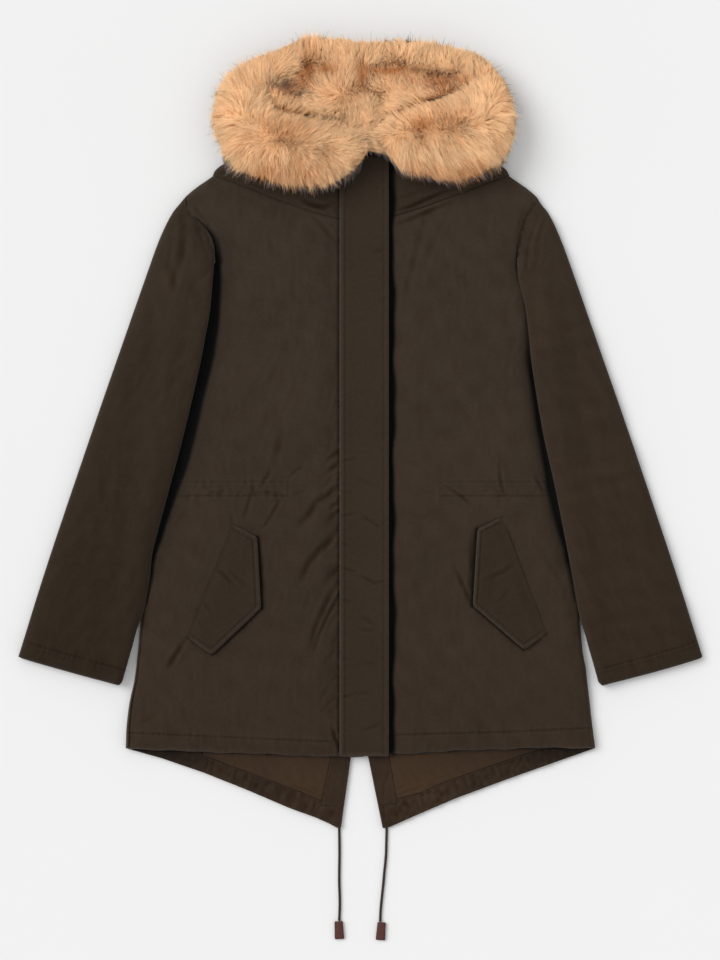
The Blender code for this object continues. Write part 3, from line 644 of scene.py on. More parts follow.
def build_cloth_shade(w: Wiring, given: Given) -> dict[str, Socket]:
    """Wire how a cloth's colour changes: darker lower down as painted shade, mottled, with painted shade in
    its folds and a painted highlight on their ridges, paler on its worn edges, and painted shade where its
    mask says.

    Args:
        w: The group's wiring.
        given: Reads one of the group's inputs by name.

    Returns:
        What feeds each output.
    """
    place = w.here
    cloud = w.noise(9, place, detail=4)
    fleck = w.noise(240, place, detail=2)
    flecked = w.scaled(w.math("SUBTRACT", fleck, 0.5), 0.40, 1)
    level = w.scaled(w.math("SUBTRACT", cloud, 0.5), given("Mottling"), flecked)
    # Painted shade in the small folds' troughs and a painted highlight on their ridges, from their height.
    fold = w.node("MapRange", {"Value": w.attribute("press"), "From Min": -2.6, "From Max": 1.3})
    folded = w.ramp(fold.outputs[0], ((0, (0.66, 0.50, 0.34)), (0.40, (0.93, 0.85, 0.76)), (0.667, (1,) * 3),
                                      (1, (1.12,) * 3)))
    height = w.node("SeparateXYZ", {0: place}).outputs["Y"]
    # Painted shade: the colour darkens from the chest down to the hem.
    low = w.node("MapRange", {"Value": height, "From Min": 0.30, "From Max": -0.43}).outputs[0]
    colour = w.mix(1, w.mix(low, given("Colour"), given("Low colour")), folded, "MULTIPLY")
    colour = w.mix(1, colour, w.grey(level), "MULTIPLY")
    rub = w.math("MULTIPLY", w.attribute("wear"), w.scaled(fleck, 1.2, 0.2), clamp=True)
    colour = w.mix(w.math("MULTIPLY", rub, given("Wear")), colour, given("Worn colour"))
    # Painted shade: darken towards a near black where the piece's shade mask says shade falls.
    colour = w.mix(w.attribute("recess"), colour, given("Deep colour"))
    return {"Colour": colour, "Cloud": cloud, "Fleck": fleck}


CLOTH_SHADE = ShaderGroup(
    "Cloth shade",
    {"Colour": ("colour", (0.03, 0.02, 0.013, 1)), "Low colour": ("colour", (0.03, 0.02, 0.013, 1)),
     "Worn colour": ("colour", (0.09, 0.07, 0.05, 1)), "Deep colour": ("colour", (0.001, 0.0008, 0.0006, 1)),
     "Mottling": ("value", 0.25), "Wear": ("value", 0.5)},
    {"Colour": "colour", "Cloud": "value", "Fleck": "value"}, build_cloth_shade,
)


def build_grain(w: Wiring, given: Given) -> dict[str, Socket]:
    """Wire a leather grain: small pebbles with fine lines between them.

    Args:
        w: The group's wiring.
        given: Reads one of the group's inputs by name.

    Returns:
        What feeds each output.
    """
    place = w.here
    cells = w.node("TexVoronoi", {"Vector": place, "Scale": given("Scale")}, feature="DISTANCE_TO_EDGE")
    lines = w.math("MULTIPLY", w.math("MINIMUM", cells.outputs["Distance"], 0.12), 8)
    patina = w.noise(160, place)
    return {"Height": w.scaled(patina, 0.5, lines), "Patina": patina}


GRAIN = ShaderGroup("Leather grain", {"Scale": ("value", 900)}, {"Height": "value", "Patina": "value"},
                    build_grain)


# ---- Finishes
class Finish:
    """A finish, whose material is made at its first use."""

    name: str

    def material(self) -> bpy.types.Material:
        """The finish's material."""
        if self.name in bpy.data.materials:
            return bpy.data.materials[self.name]
        made = bpy.data.materials.new(self.name)
        made.use_nodes = True
        w = Wiring(made.node_tree)
        w.feed(made.node_tree.nodes["Principled BSDF"], self.wire(w))
        return made

    def wire(self, w: Wiring) -> dict[str, object]:
        """Wire what the finish's Principled shader is fed with.

        Args:
            w: The material's wiring.

        Returns:
            A value or a socket for each of the shader's inputs that the finish changes.
        """
        raise NotImplementedError


@dataclass(frozen=True)
class ClothFinish(Finish):
    """Woven cloth: twill or satin, with mottling, painted shade in its folds, darker towards the hem as
    painted shade, and rubbed edges.

    Attributes:
        colour: Its colour at the chest.
        low: Its colour at the hem, darkened as painted shade.
        worn: Its colour where an edge is rubbed.
        relief: How high its threads stand, in metres.
    """

    name: str
    colour: Colour
    low: Colour
    worn: Colour = (0.088, 0.066, 0.048)
    roughness: float = 0.86
    specular: float = 0.12
    sheen: float = 0.05
    threads: float = 420
    turn: float = 0
    relief: float = 0.00012
    mottling: float = 0.35
    wear: float = 0.55

    def wire(self, w: Wiring) -> dict[str, object]:
        """Wire the cloth's changing colour and its threads."""
        shade = CLOTH_SHADE.place(w, Colour=(*self.colour, 1), Low_colour=(*self.low, 1),
                                  Worn_colour=(*self.worn, 1), Mottling=self.mottling, Wear=self.wear)
        weave = WEAVE.place(w, Threads=self.threads, Turn=self.turn)
        height = w.scaled(shade.outputs["Fleck"], 1.4, weave.outputs["Height"])
        return {
            "Base Color": shade.outputs["Colour"],
            "Roughness": w.scaled(shade.outputs["Cloud"], 0.12, self.roughness - 0.06),
            "Normal": w.bump(height, 0.55, self.relief),
            "Specular IOR Level": self.specular,
            "Sheen Weight": self.sheen,
            "Sheen Roughness": 0.5,
        }


@dataclass(frozen=True)
class FurFinish(Finish):
    """Fur strands: deeper at the root, pale at the tip, browner in its partings and as painted shade, darker
    with dark hair and with painted shade in the opening's pockets.

    Attributes:
        brown: The deeper brown of the fur's partings, also used as painted shade in its valleys and on its
            lower sides.
        smoke: The colour of dark hair, also used as painted shade.
    """

    name: str
    root: Colour
    middle: Colour
    tip: Colour
    brown: Colour = (0.54, 0.155, 0.022)
    smoke: Colour = (0.085, 0.055, 0.058)
    roughness: float = 0.62
    specular: float = 0.2

    def wire(self, w: Wiring) -> dict[str, object]:
        """Wire the strand's colours from root to tip."""
        along = w.ramp(w.attribute("tip"),
                       ((0, self.root), (0.45, self.middle), (0.85, self.tip), (1, self.tip)))
        tone = w.scaled(w.noise(30, w.here), 0.30, 0.85)
        grey = w.grey(w.math("MULTIPLY", tone, w.attribute("shade")))
        # Browner in the fur's partings, and as painted shade in its valleys and on its lower sides.
        deep = w.math("MULTIPLY", w.attribute("warm"), 0.90, clamp=True)
        colour = w.mix(1, w.mix(deep, along, (*self.brown, 1)), grey, "MULTIPLY")
        return {
            # Darker with dark hair, and with painted shade in the opening's pockets.
            "Base Color": w.mix(w.attribute("smoke"), colour, (*self.smoke, 1)),
            "Roughness": w.scaled(w.attribute("tip"), -0.15, self.roughness + 0.1),
            "Specular IOR Level": self.specular,
        }


@dataclass(frozen=True)
class CordFinish(Finish):
    """A braided cord."""

    name: str = "Braided drawcord"
    # The dark colour is painted shade between the braid's strands.
    dark: Colour = (0.014, 0.008, 0.006)
    light: Colour = (0.052, 0.033, 0.026)

    def wire(self, w: Wiring) -> dict[str, object]:
        """Wire the braid's strands, with painted shade between them, and fine fibres."""
        fibre = w.noise(1400, w.here, detail=2)
        strand = w.math("MULTIPLY", w.attribute("press"), w.scaled(fibre, 0.6, 0.6), clamp=True)
        return {
            "Base Color": w.mix(strand, (*self.dark, 1), (*self.light, 1)),
            "Roughness": w.scaled(fibre, 0.2, 0.65),
            "Normal": w.bump(fibre, 0.5, 0.0002),
            "Specular IOR Level": 0.2,
        }


@dataclass(frozen=True)
class LeatherFinish(Finish):
    """Grained leather, rubbed darker and glossier where it is handled."""

    name: str = "Burgundy leather"
    colour: Colour = (0.092, 0.025, 0.015)
    dark: Colour = (0.039, 0.011, 0.009)

    def wire(self, w: Wiring) -> dict[str, object]:
        """Wire the leather's grain, patina, and the dark lines near its edges."""
        grain = GRAIN.place(w)
        spread = w.math("MULTIPLY", grain.outputs["Patina"], 0.7)
        colour = w.mix(spread, (*self.colour, 1), (*self.dark, 1))
        return {
            # Darker along the lines that the end's mesh marks near its edges.
            "Base Color": w.mix(w.attribute("recess"), colour, (*self.dark, 1)),
            "Roughness": w.math("ADD", spread, 0.30),
            "Normal": w.bump(grain.outputs["Height"], 0.5, 0.0002),
            "Specular IOR Level": 0.35,
        }


@dataclass(frozen=True)
class FloorFinish(Finish):
    """The plain pale surface that the parka lies on."""

    name: str = "Pale studio floor"
    colour: Colour = (0.770, 0.770, 0.770)

    def wire(self, w: Wiring) -> dict[str, object]:
        """Wire a faintly uneven matt grey."""
        tone = w.grey(w.scaled(w.noise(3, w.here), 0.02, 0.99))
        return {"Base Color": w.mix(1, (*self.colour, 1), tone, "MULTIPLY"), "Roughness": 1,
                "Specular IOR Level": 0}


SHELL = ClothFinish("Brown cotton twill", (0.0343, 0.0237, 0.0155), (0.0300, 0.0190, 0.0113))
PLACKET_SHELL = replace(SHELL, name="Brown cotton twill of the placket", colour=(0.0296, 0.0198, 0.0120),
                        low=(0.0265, 0.0170, 0.0098))
# The collar's cloth is darker than the shell as painted shadow of the fur above it.
COLLAR_SHELL = replace(SHELL, name="Brown cotton twill of the collar", colour=(0.0291, 0.0196, 0.0115),
                       low=(0.0291, 0.0196, 0.0115))
FLAP_SHELL = replace(SHELL, name="Brown cotton twill of the flaps", colour=(0.0270, 0.0177, 0.0104),
                     low=(0.0252, 0.0162, 0.0094))
SLEEVE_SHELL = replace(SHELL, name="Brown cotton twill of the sleeves", turn=0.33,
                       colour=(0.0318, 0.0208, 0.0125), low=(0.0245, 0.0145, 0.0078), wear=0.2)
TAIL_SHELL = replace(SHELL, name="Brown cotton twill inside the tails", colour=(0.0296, 0.0183, 0.0109),
                     low=(0.0296, 0.0174, 0.0097), mottling=1.1, wear=0.15)
SATIN = ClothFinish("Brown lining satin", (0.0390, 0.0205, 0.0092), (0.0390, 0.0205, 0.0092), roughness=0.55,
                    specular=0.12, sheen=0, threads=700, relief=0.00005, mottling=0.8, wear=0)
THREAD = ClothFinish("Brown sewing thread", (0.0235, 0.0157, 0.0104), (0.0191, 0.0122, 0.0078), roughness=0.6,
                     specular=0.2, sheen=0, threads=900, relief=0.00003, wear=0)
TRIM_FUR = FurFinish("Tan fur strands", (0.90, 0.43, 0.16), (0.99, 0.57, 0.27), (1, 0.70, 0.40))
PILE_FUR = FurFinish("Tan pile lining", (0.96, 0.50, 0.22), (0.99, 0.58, 0.29), (1, 0.66, 0.365))
GUARD_FUR = FurFinish("Dark guard hair", (0.60, 0.36, 0.19), (0.26, 0.20, 0.17), (0.28, 0.24, 0.25),
                      smoke=(0.050, 0.038, 0.040), roughness=0.5)


# ---- Meshes
def mesh_object(name: str, vertices: Array, faces: Iterable[Sequence[int]], finish: Finish, slot: Slot,
                marks: dict[str, Array] | None = None, sharp: float | None = 60) -> Placed:
    """Make an object from vertices in millimetres and give it its finish.

    Args:
        name: The piece's name.
        vertices: Places, a row of x, y, z for each vertex.
        faces: Vertex numbers of each face.
        finish: Its finish.
        slot: The record's material slot; it is not used.
        marks: Numbers to keep at the vertices, by attribute name.
        sharp: Edges that turn more than this many degrees stay sharp; none where it is None.

    Returns:
        The object, riding on the body.
    """
    mesh = bpy.data.meshes.new(name)
    mesh.from_pydata((vertices * MM).tolist(), [], [tuple(face) for face in faces])
    for mark, values in (marks or {}).items():
        layer = mesh.attributes.new(mark, "FLOAT", "POINT")
        layer.data.foreach_set("value", np.asarray(values, np.float32))
    mesh.shade_smooth()
    if sharp is not None:
        mesh.set_sharp_from_angle(angle=math.radians(sharp))
    mesh.materials.append(finish.material())
    made = bpy.data.objects.new(name, mesh)
    bpy.context.scene.collection.objects.link(made)
    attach(made, ROOT)
    return made


def tube_faces(rings: int, sides: int) -> list[tuple[int, ...]]:
    """The faces of a closed tube: quads between its rings, and a cap at each end."""
    start = sides * np.arange(rings - 1)[:, None] + np.arange(sides)
    after = sides * np.arange(rings - 1)[:, None] + (np.arange(sides) + 1) % sides
    quads = np.stack((start, after, after + sides, start + sides), axis=-1).reshape(-1, 4)
    last = (rings - 1) * sides
    return [*map(tuple, quads.tolist()), tuple(range(sides))[::-1], tuple(range(last, last + sides))]


def triangulated(points: Array, rim_count: int) -> tuple[Array, Array, Array]:
    """Triangulate loose points inside the closed rim that the first of them make.

    Args:
        points: The rim's points in order, then the loose ones.
        rim_count: How many points the rim has.

    Returns:
        The points, the triangles facing up, and where each rim point went.
    """
    edges = [(index, (index + 1) % rim_count) for index in range(rim_count)]
    found = delaunay_2d_cdt([Vector(point) for point in points], edges, [], 1, 1e-5)
    flat = np.array([tuple(point) for point in found[0]])
    faces = np.array(found[2])
    a, b, c = (flat[faces[:, corner]] for corner in range(3))
    turned = (b[:, 0] - a[:, 0]) * (c[:, 1] - a[:, 1]) - (b[:, 1] - a[:, 1]) * (c[:, 0] - a[:, 0]) < 0
    faces[turned] = faces[turned][:, ::-1]
    rim = np.zeros(rim_count, int)
    for made, sources in enumerate(found[3]):
        for source in sources:
            if source < rim_count:
                rim[source] = made
    return flat, faces, rim


def spaced(candidates: Array, taken: Array, apart: float) -> Array:
    """The candidates that keep a distance from points already taken."""
    if not len(candidates):
        return candidates
    tree = KDTree(len(taken))
    for index, (x, y) in enumerate(taken):
        tree.insert((x, y, 0), index)
    tree.balance()
    return candidates[[tree.find((x, y, 0))[2] >= apart for x, y in candidates]]


def scattered(outline: Array, step: float) -> Array:
    """A loose square lattice inside an outline, clear of its edge."""
    low, high = outline.min(axis=0), outline.max(axis=0)
    grid = np.stack(np.meshgrid(np.arange(low[0], high[0], step), np.arange(low[1], high[1], step)), axis=-1)
    grid = grid.reshape(-1, 2)
    return spaced(grid[is_inside(outline, *grid.T)], outline, step * 0.4)


@dataclass
class ClothPiece:
    """A cut piece of cloth as a thin closed shell, meshed finely where it bends.

    Attributes:
        bottom: Its inside surface, as heights.
        top: Its outside surface before its reliefs, as heights.
        recess: How much painted shade darkens each point, from 0 to 1.
        lattice: The mesh spacing where it bends; it is doubled where the surface is smooth.
        rim: How far in from its edge it is rounded.
        rim_share: How much of its wall stands at the very edge.
        bend_limit: How much the surface bends, in millimetres, before the mesh is kept whole.
        flush: Where its edge meets a neighbour in a flat seam and isn't rounded, from 0 to 1.
    """

    name: str
    outline: Array
    bottom: Surface
    top: Surface
    reliefs: Sequence[Relief] = ()
    recess: Surface | None = None
    finish: ClothFinish = SHELL
    slot: Slot = Slot.SHELL
    lattice: float = 2.7
    rim: float = 2.4
    rim_share: float = 0.45
    bend_limit: float = 0.12
    flush: Surface | None = None

    def outside(self, x: Array, y: Array) -> Array:
        """The outside surface with its reliefs, never closer to the inside than a thin wall."""
        relief = total_relief(self.reliefs, x, y)
        if self.flush:
            relief = relief * (1 - self.flush(x, y))
        return np.maximum(self.top(x, y) + relief, self.bottom(x, y) + 0.8)

    def rings(self) -> Array:
        """Points a little inside the edge, for its rounding."""
        ahead = np.roll(self.outline, -1, axis=0) - np.roll(self.outline, 1, axis=0)
        inward = np.stack((-ahead[:, 1], ahead[:, 0]), axis=1) / np.hypot(*ahead.T)[:, None]
        x, y = (self.outline + inward * 0.3).T
        inward[~is_inside(self.outline, x, y)] *= -1
        kept = []
        for inset in (self.rim * 0.3, self.rim * 0.9):
            ring = self.outline + inward * inset
            x, y = ring.T
            clear = edge_distance(self.outline, x, y) > inset * 0.9
            kept.append(ring[clear & is_inside(self.outline, x, y)])
        return np.vstack(kept)

    def lattice_points(self, step: float) -> Array:
        """A staggered lattice, kept whole where the surface bends and halved where it is smooth."""
        low, high = self.outline.min(axis=0), self.outline.max(axis=0)
        columns = int((high[0] - low[0]) / step) + 3
        rows = int((high[1] - low[1]) / (step * STAGGER)) + 3
        row, column = np.mgrid[0:rows, 0:columns]
        x = low[0] + (column + 0.5 * (row % 2) - 0.5) * step
        y = low[1] + (row - 0.5) * step * STAGGER
        height = self.outside(x.ravel(), y.ravel()).reshape(x.shape)
        bend = np.zeros(x.shape)
        bend[:, 1:-1] += abs(height[:, 2:] - 2 * height[:, 1:-1] + height[:, :-2])
        bend[2:-2] += abs(height[4:] - 2 * height[2:-2] + height[:-4]) / 3
        halved = (row % 2 == 0) & ((column + row // 2) % 2 == 0)
        kept = halved | (bend > self.bend_limit)
        points = np.stack((x[kept], y[kept]), axis=1)
        return points[is_inside(self.outline, *points.T)]

    def mesh_points(self) -> Array:
        """The outline's points, then those that the outside's mesh needs within it."""
        points = np.vstack((self.outline, self.rings()))
        for part in self.reliefs:
            rows = part.mesh_rows()
            if len(rows):
                rows = rows[is_inside(self.outline, *rows.T)]
                points = np.vstack((points, spaced(rows, points, 1.1)))
        lattice = self.lattice_points(self.lattice)
        return np.vstack((points, spaced(lattice, points, self.lattice * 0.62)))

    def marks(self, x: Array, y: Array, edge: Array, hidden: int) -> dict[str, Array]:
        """What the finish reads at the outside's vertices; the inside's have none of it.

        Args:
            x: The outside's X.
            y: The outside's Y.
            edge: Its distance to the edge.
            hidden: How many vertices the inside has.

        Returns:
            Numbers for each vertex, by attribute name.
        """
        wear = np.exp(-edge / 1.6)
        if self.flush:
            wear *= 1 - self.flush(x, y)
        # The small reliefs' heights, which the finish turns into painted shade and highlight.
        press = total_relief((part for part in self.reliefs if part.is_small), x, y)
        # The piece's painted shade, from its shade function.
        shade = np.zeros(len(x)) if self.recess is None else np.clip(self.recess(x, y), 0, 1)
        return {name: np.append(values, np.zeros(hidden))
                for name, values in (("press", press), ("wear", wear), ("recess", shade))}

    def make(self) -> Placed:
        """Mesh the piece and make its object."""
        rim_count = len(self.outline)
        top_flat, top_faces, top_rim = triangulated(self.mesh_points(), rim_count)
        loose = scattered(self.outline, self.lattice * 7)
        low_flat, low_faces, low_rim = triangulated(np.vstack((self.outline, loose)), rim_count)
        x, y = top_flat.T
        edge, inside = edge_distance(self.outline, x, y), self.bottom(x, y)
        share = self.rim_share + (1 - self.rim_share) * dome(edge / self.rim)
        if self.flush:
            share = np.maximum(share, 0.98 * self.flush(x, y))
        outside = inside + (self.outside(x, y) - inside) * share
        under = self.bottom(*low_flat.T)
        shift = len(top_flat)
        walls = []
        for index in range(rim_count):
            after = (index + 1) % rim_count
            walls.append((top_rim[after], top_rim[index], shift + low_rim[index], shift + low_rim[after]))
        if signed_area(self.outline) < 0:
            walls = [wall[::-1] for wall in walls]
        faces = top_faces.tolist() + (low_faces[:, ::-1] + shift).tolist() + walls
        vertices = np.vstack((np.column_stack((x, y, outside)), np.column_stack((low_flat, under))))
        marks = self.marks(x, y, edge, len(low_flat))
        made = mesh_object(self.name, vertices, faces, self.finish, self.slot, marks)
        log.info("%s: %d triangles", self.name, len(top_faces) + len(low_faces) + 2 * rim_count)
        return made

    def declare(self, made: Placed, nodes: Sequence[str],
                flat: tuple[float, float] | None = None) -> Placed:
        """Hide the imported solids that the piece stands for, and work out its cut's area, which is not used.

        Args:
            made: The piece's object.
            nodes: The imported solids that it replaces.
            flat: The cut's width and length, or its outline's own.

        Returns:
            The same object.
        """
        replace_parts(made, *nodes)
        width, length = flat or tuple(self.outline.max(axis=0) - self.outline.min(axis=0))
        area = min(abs(signed_area(self.outline)), width * length)
        return made


# ---- Stitching
@dataclass
class StitchRun:
    """A row of machine stitches along a line on a surface, a pitch from one stitch to the next."""

    line: Line
    surface: Surface
    pitch: float = 3.5
    length: float = 2.7
    thick: float = 0.5

    def mesh(self) -> tuple[Array, Array]:
        """The vertices and triangles of the stitches, as pointed capsules half sunk in the cloth."""
        line = straight_run(self.line, self.pitch)
        middles = (line[1:] + line[:-1]) / 2
        ahead = line[1:] - line[:-1]
        ahead /= np.hypot(*ahead.T)[:, None]
        count = len(middles)
        along = np.array((-0.5, -0.32, -0.32, -0.32, -0.32, 0.32, 0.32, 0.32, 0.32, 0.5)) * self.length
        turn = np.array((0, 0.25, 0.75, 1.25, 1.75, 0.25, 0.75, 1.25, 1.75, 0)) * math.pi
        radius = np.array((0, *(1,) * 8, 0)) * self.thick / 2
        x = middles[:, :1] + ahead[:, :1] * along - ahead[:, 1:] * radius * np.cos(turn)
        y = middles[:, 1:] + ahead[:, 1:] * along + ahead[:, :1] * radius * np.cos(turn)
        base = self.surface(x.ravel(), y.ravel()).reshape(x.shape)
        z = base + radius * np.sin(turn) + self.thick * np.where(abs(along) > 0.4 * self.length, -0.35, 0.12)
        vertices = np.stack((x, y, z), axis=-1).reshape(-1, 3)
        ring = []
        for index in range(4):
            after = (index + 1) % 4
            ring += [(0, 1 + after, 1 + index), (1 + index, 1 + after, 5 + after),
                     (1 + index, 5 + after, 5 + index), (9, 5 + index, 5 + after)]
        faces = (np.array(ring)[None] + 10 * np.arange(count)[:, None, None]).reshape(-1, 3)
        return vertices, faces


def sew(name: str, runs: Sequence[StitchRun]) -> Placed:
    """One joined mesh of several rows of stitches."""
    vertices, faces, shift = [], [], 0
    for run in runs:
        places, triangles = run.mesh()
        vertices.append(places)
        faces.append(triangles + shift)
        shift += len(places)
    made = mesh_object(name, np.vstack(vertices), np.vstack(faces).tolist(), THREAD, Slot.SHELL)
    log.info("%s: %d triangles", name, sum(map(len, faces)))
    return made


# ---- Camera, light and surface
@dataclass(frozen=True)
class Studio:
    """The pale surface, the soft light and the camera straight above."""

    view_height: float = 1296
    view_centre: Point = (-1.35, -61.4)
    camera_height: float = 4600
    sensor: float = 36
    floor_size: float = 9000
    fill: float = 0.773
    key_power: float = 1.72
    key_spread: float = 36
    key_from: tuple[float, float, float] = (-0.64, 0.32, 0.695)

    def camera(self) -> Placed:
        """A camera that looks straight down on the whole garment."""
        data = bpy.data.cameras.new("Overhead camera")
        data.sensor_width = self.sensor
        data.lens = self.sensor * self.camera_height / self.view_height
        data.clip_end = 30
        made = bpy.data.objects.new("Overhead camera", data)
        made.location = (self.view_centre[0] * MM, self.view_centre[1] * MM, self.camera_height * MM)
        bpy.context.scene.collection.objects.link(made)
        bpy.context.scene.camera = made
        return made

    def light(self) -> None:
        """A broad soft light from the upper left, and an even fill from all round."""
        data = bpy.data.lights.new("Soft key light", "SUN")
        data.angle = math.radians(self.key_spread)
        data.energy = self.key_power
        made = bpy.data.objects.new("Soft key light", data)
        made.location = self.key_from
        made.rotation_euler = (-Vector(self.key_from)).to_track_quat("-Z", "Y").to_euler()
        bpy.context.scene.collection.objects.link(made)
        world = bpy.data.worlds.new("Even fill light")
        world.use_nodes = True
        world.node_tree.nodes["Background"].inputs["Color"].default_value = (1, 1, 1, 1)
        world.node_tree.nodes["Background"].inputs["Strength"].default_value = self.fill
        bpy.context.scene.world = world
        bpy.context.scene.view_settings.view_transform = "Standard"

    def floor(self) -> Placed:
        """The surface that the parka lies on, just under its lowest points."""
        half = self.floor_size / 2 * MM
        mesh = bpy.data.meshes.new("Studio floor")
        mesh.from_pydata([(-half, -half, -0.0003), (half, -half, -0.0003), (half, half, -0.0003),
                          (-half, half, -0.0003)], [], [(0, 1, 2, 3)])
        mesh.materials.append(FloorFinish().material())
        made = bpy.data.objects.new("Studio_floor", mesh)
        bpy.context.scene.collection.objects.link(made)
        return made


# ---- Drawcords
@dataclass(frozen=True)
class Drawcord:
    """A cord out of the fishtail's tip, and the folded leather end on it.

    Attributes:
        route: Where it lies, from the tip to the leather end.
        end_at: The leather end's middle, and its turn in degrees.
    """

    side: Side
    route: Line
    end_at: tuple[float, float, float]
    diameter: float = 3.5
    step: float = 1.5
    point_step: float = 9
    sides: int = 12
    lift: float = 0.1
    braid_pitch: float = 7
    braid_height: float = 0.16
    end_size: tuple[float, float, float] = (13, 24, 5)

    def centreline(self, step: float) -> Array:
        """The cord's middle, from the fishtail to the leather end, lying on the surface."""
        flat = smooth_run(self.route, step)
        return np.column_stack((flat, np.full(len(flat), self.diameter / 2 + self.lift)))

    def make(self) -> None:
        end = self.make_end()
        line = self.centreline(self.step)
        across = np.cross(unit_rows(np.gradient(line, axis=0)), (0, 0, 1))
        run = np.arange(len(line)) * self.step
        turn = 2 * math.pi * np.arange(self.sides) / self.sides
        twist = 2 * math.pi * run[:, None] / self.braid_pitch
        weave = np.cos(3 * turn[None] + twist) * np.cos(3 * turn[None] - twist)
        radius = self.diameter / 2 - self.braid_height * (1 - weave) / 2
        radius[[0, -1]] *= 0.55
        vertices = (line[:, None] + (radius * np.cos(turn))[..., None] * across[:, None]
                    + (radius * np.sin(turn))[..., None] * np.array((0, 0, 1)))
        name = f"drawcord_{self.side.label}_braid"
        # The braid's relief height, which the finish turns into painted shade between its strands.
        made = mesh_object(name, vertices.reshape(-1, 3), tube_faces(len(line), self.sides), CordFinish(),
                           Slot.CORD, {"press": ((1 + weave) / 2).ravel()})
        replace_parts(made, f"drawcord_{self.side.label}")
        path = self.centreline(self.point_step)

    def make_end(self) -> Placed:
        """The leather end: a strip folded over the cord, a little wider at its open edge."""
        width, length, height = self.end_size
        x0, y0, turn = self.end_at
        rows, columns = 13, 20
        share = np.linspace(0, 1, rows)[:, None]
        angle = 2 * math.pi * np.arange(columns)[None] / columns
        box_x = abs(np.cos(angle)) ** 0.5 * np.sign(np.cos(angle).round(9))
        box_z = abs(np.sin(angle)) ** 0.8 * np.sign(np.sin(angle).round(9))
        ends = dome(np.minimum(share, 1 - share) * 9 + 0.12)
        crown = 0.82 + 0.18 * np.exp(-((share * 4) ** 2))
        x = box_x * width / 2 * (0.86 + 0.14 * share) * (0.9 + 0.1 * ends)
        y = (0.5 - share) * length + 0 * angle
        z = height / 2 + box_z * height / 2 * ends * crown
        # Dark lines along the strip's rounded edges and near its open end.
        edge = np.exp(-(((abs(box_x) - 0.78) / 0.05) ** 2)) + np.exp(-(((share - 0.9) / 0.03) ** 2))
        lean = math.radians(turn)
        places = np.stack((x0 + x * math.cos(lean) - y * math.sin(lean),
                           y0 + x * math.sin(lean) + y * math.cos(lean), z), axis=-1).reshape(-1, 3)
        made = mesh_object(f"cord_end_{self.side.label}_leather", places, tube_faces(rows, columns),
                           LeatherFinish(), Slot.LEATHER, {"recess": (0.6 * edge).ravel()})
        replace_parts(made, f"cord_end_{self.side.label}")
        return made


DRAWCORDS = (
    Drawcord(Side.RIGHT, ((-29.4, -529.8), (-29, -565), (-29.4, -600), (-28.6, -632), (-29.4, -656.3)),
             (-29.6, -668.8, 3)),
    Drawcord(Side.LEFT, ((34.7, -529.4), (34.2, -552), (33.5, -570), (31.3, -592.4), (30.1, -606),
                         (26.7, -639.6), (25.8, -657.7)), (27, -670.2, -4)),
)


# ---- Body
@dataclass(frozen=True)
class PlacketForm:
    """The storm flap's edges, and the bed in the fronts that it lies on."""

    sewn_x: float = -29
    free_x: float = 37.5
    top_y: float = 373.7
    bottom_y: float = -433
    meet_x: float = 4
    bed_slope: float = 28
    trough_floor: float = 8.2
    trough_width: float = 6
    trough_wall: float = 9
    shoulder: float = 14.6

    def bank_x(self, y: Array) -> Array:
        """Where the front rises beside the free edge, a wavy line."""
        wave = 1.3 * np.sin(y / 23) + 0.9 * np.sin(y / 9.7 + 1) + 0.7 * np.sin(y / 51)
        return self.free_x + self.trough_width + wave

    def bed(self, x: Array, y: Array, top: Array) -> Array:
        """Level the fronts under the placket, with a deep trough beside its free edge."""
        bank = self.bank_x(y)
        rise = self.trough_floor + (self.shoulder - self.trough_floor) * dome((x - bank) / self.trough_wall)
        slope = smoothstep((x - bank - 3) / self.bed_slope)
        free = np.where(x > self.free_x - 1, rise + (top - self.shoulder) * slope, LAYERS.placket_bed)
        towards_sewn = smoothstep((self.sewn_x - 2 - x) / self.bed_slope)
        sewn = LAYERS.placket_bed + (top - LAYERS.placket_bed) * towards_sewn
        sewn = sewn - 2.2 * np.exp(-(((x - self.sewn_x + 0.6) / 1.6) ** 2))
        return np.where(x < self.meet_x, sewn, free)

    def shade(self, x: Array, y: Array) -> Array:
        """How deep in shade the fronts lie beside the placket's edges."""
        bank = self.bank_x(y)
        free = np.where(x > self.free_x - 3, 1 - smoothstep((x - bank + 1.5) / 7.5), 0)
        sewn = 0.6 * np.exp(-(((x - self.sewn_x + 0.8) / 1.4) ** 2)) * (x < 0)
        return np.maximum(free, sewn)


PLACKET_FORM = PlacketForm()


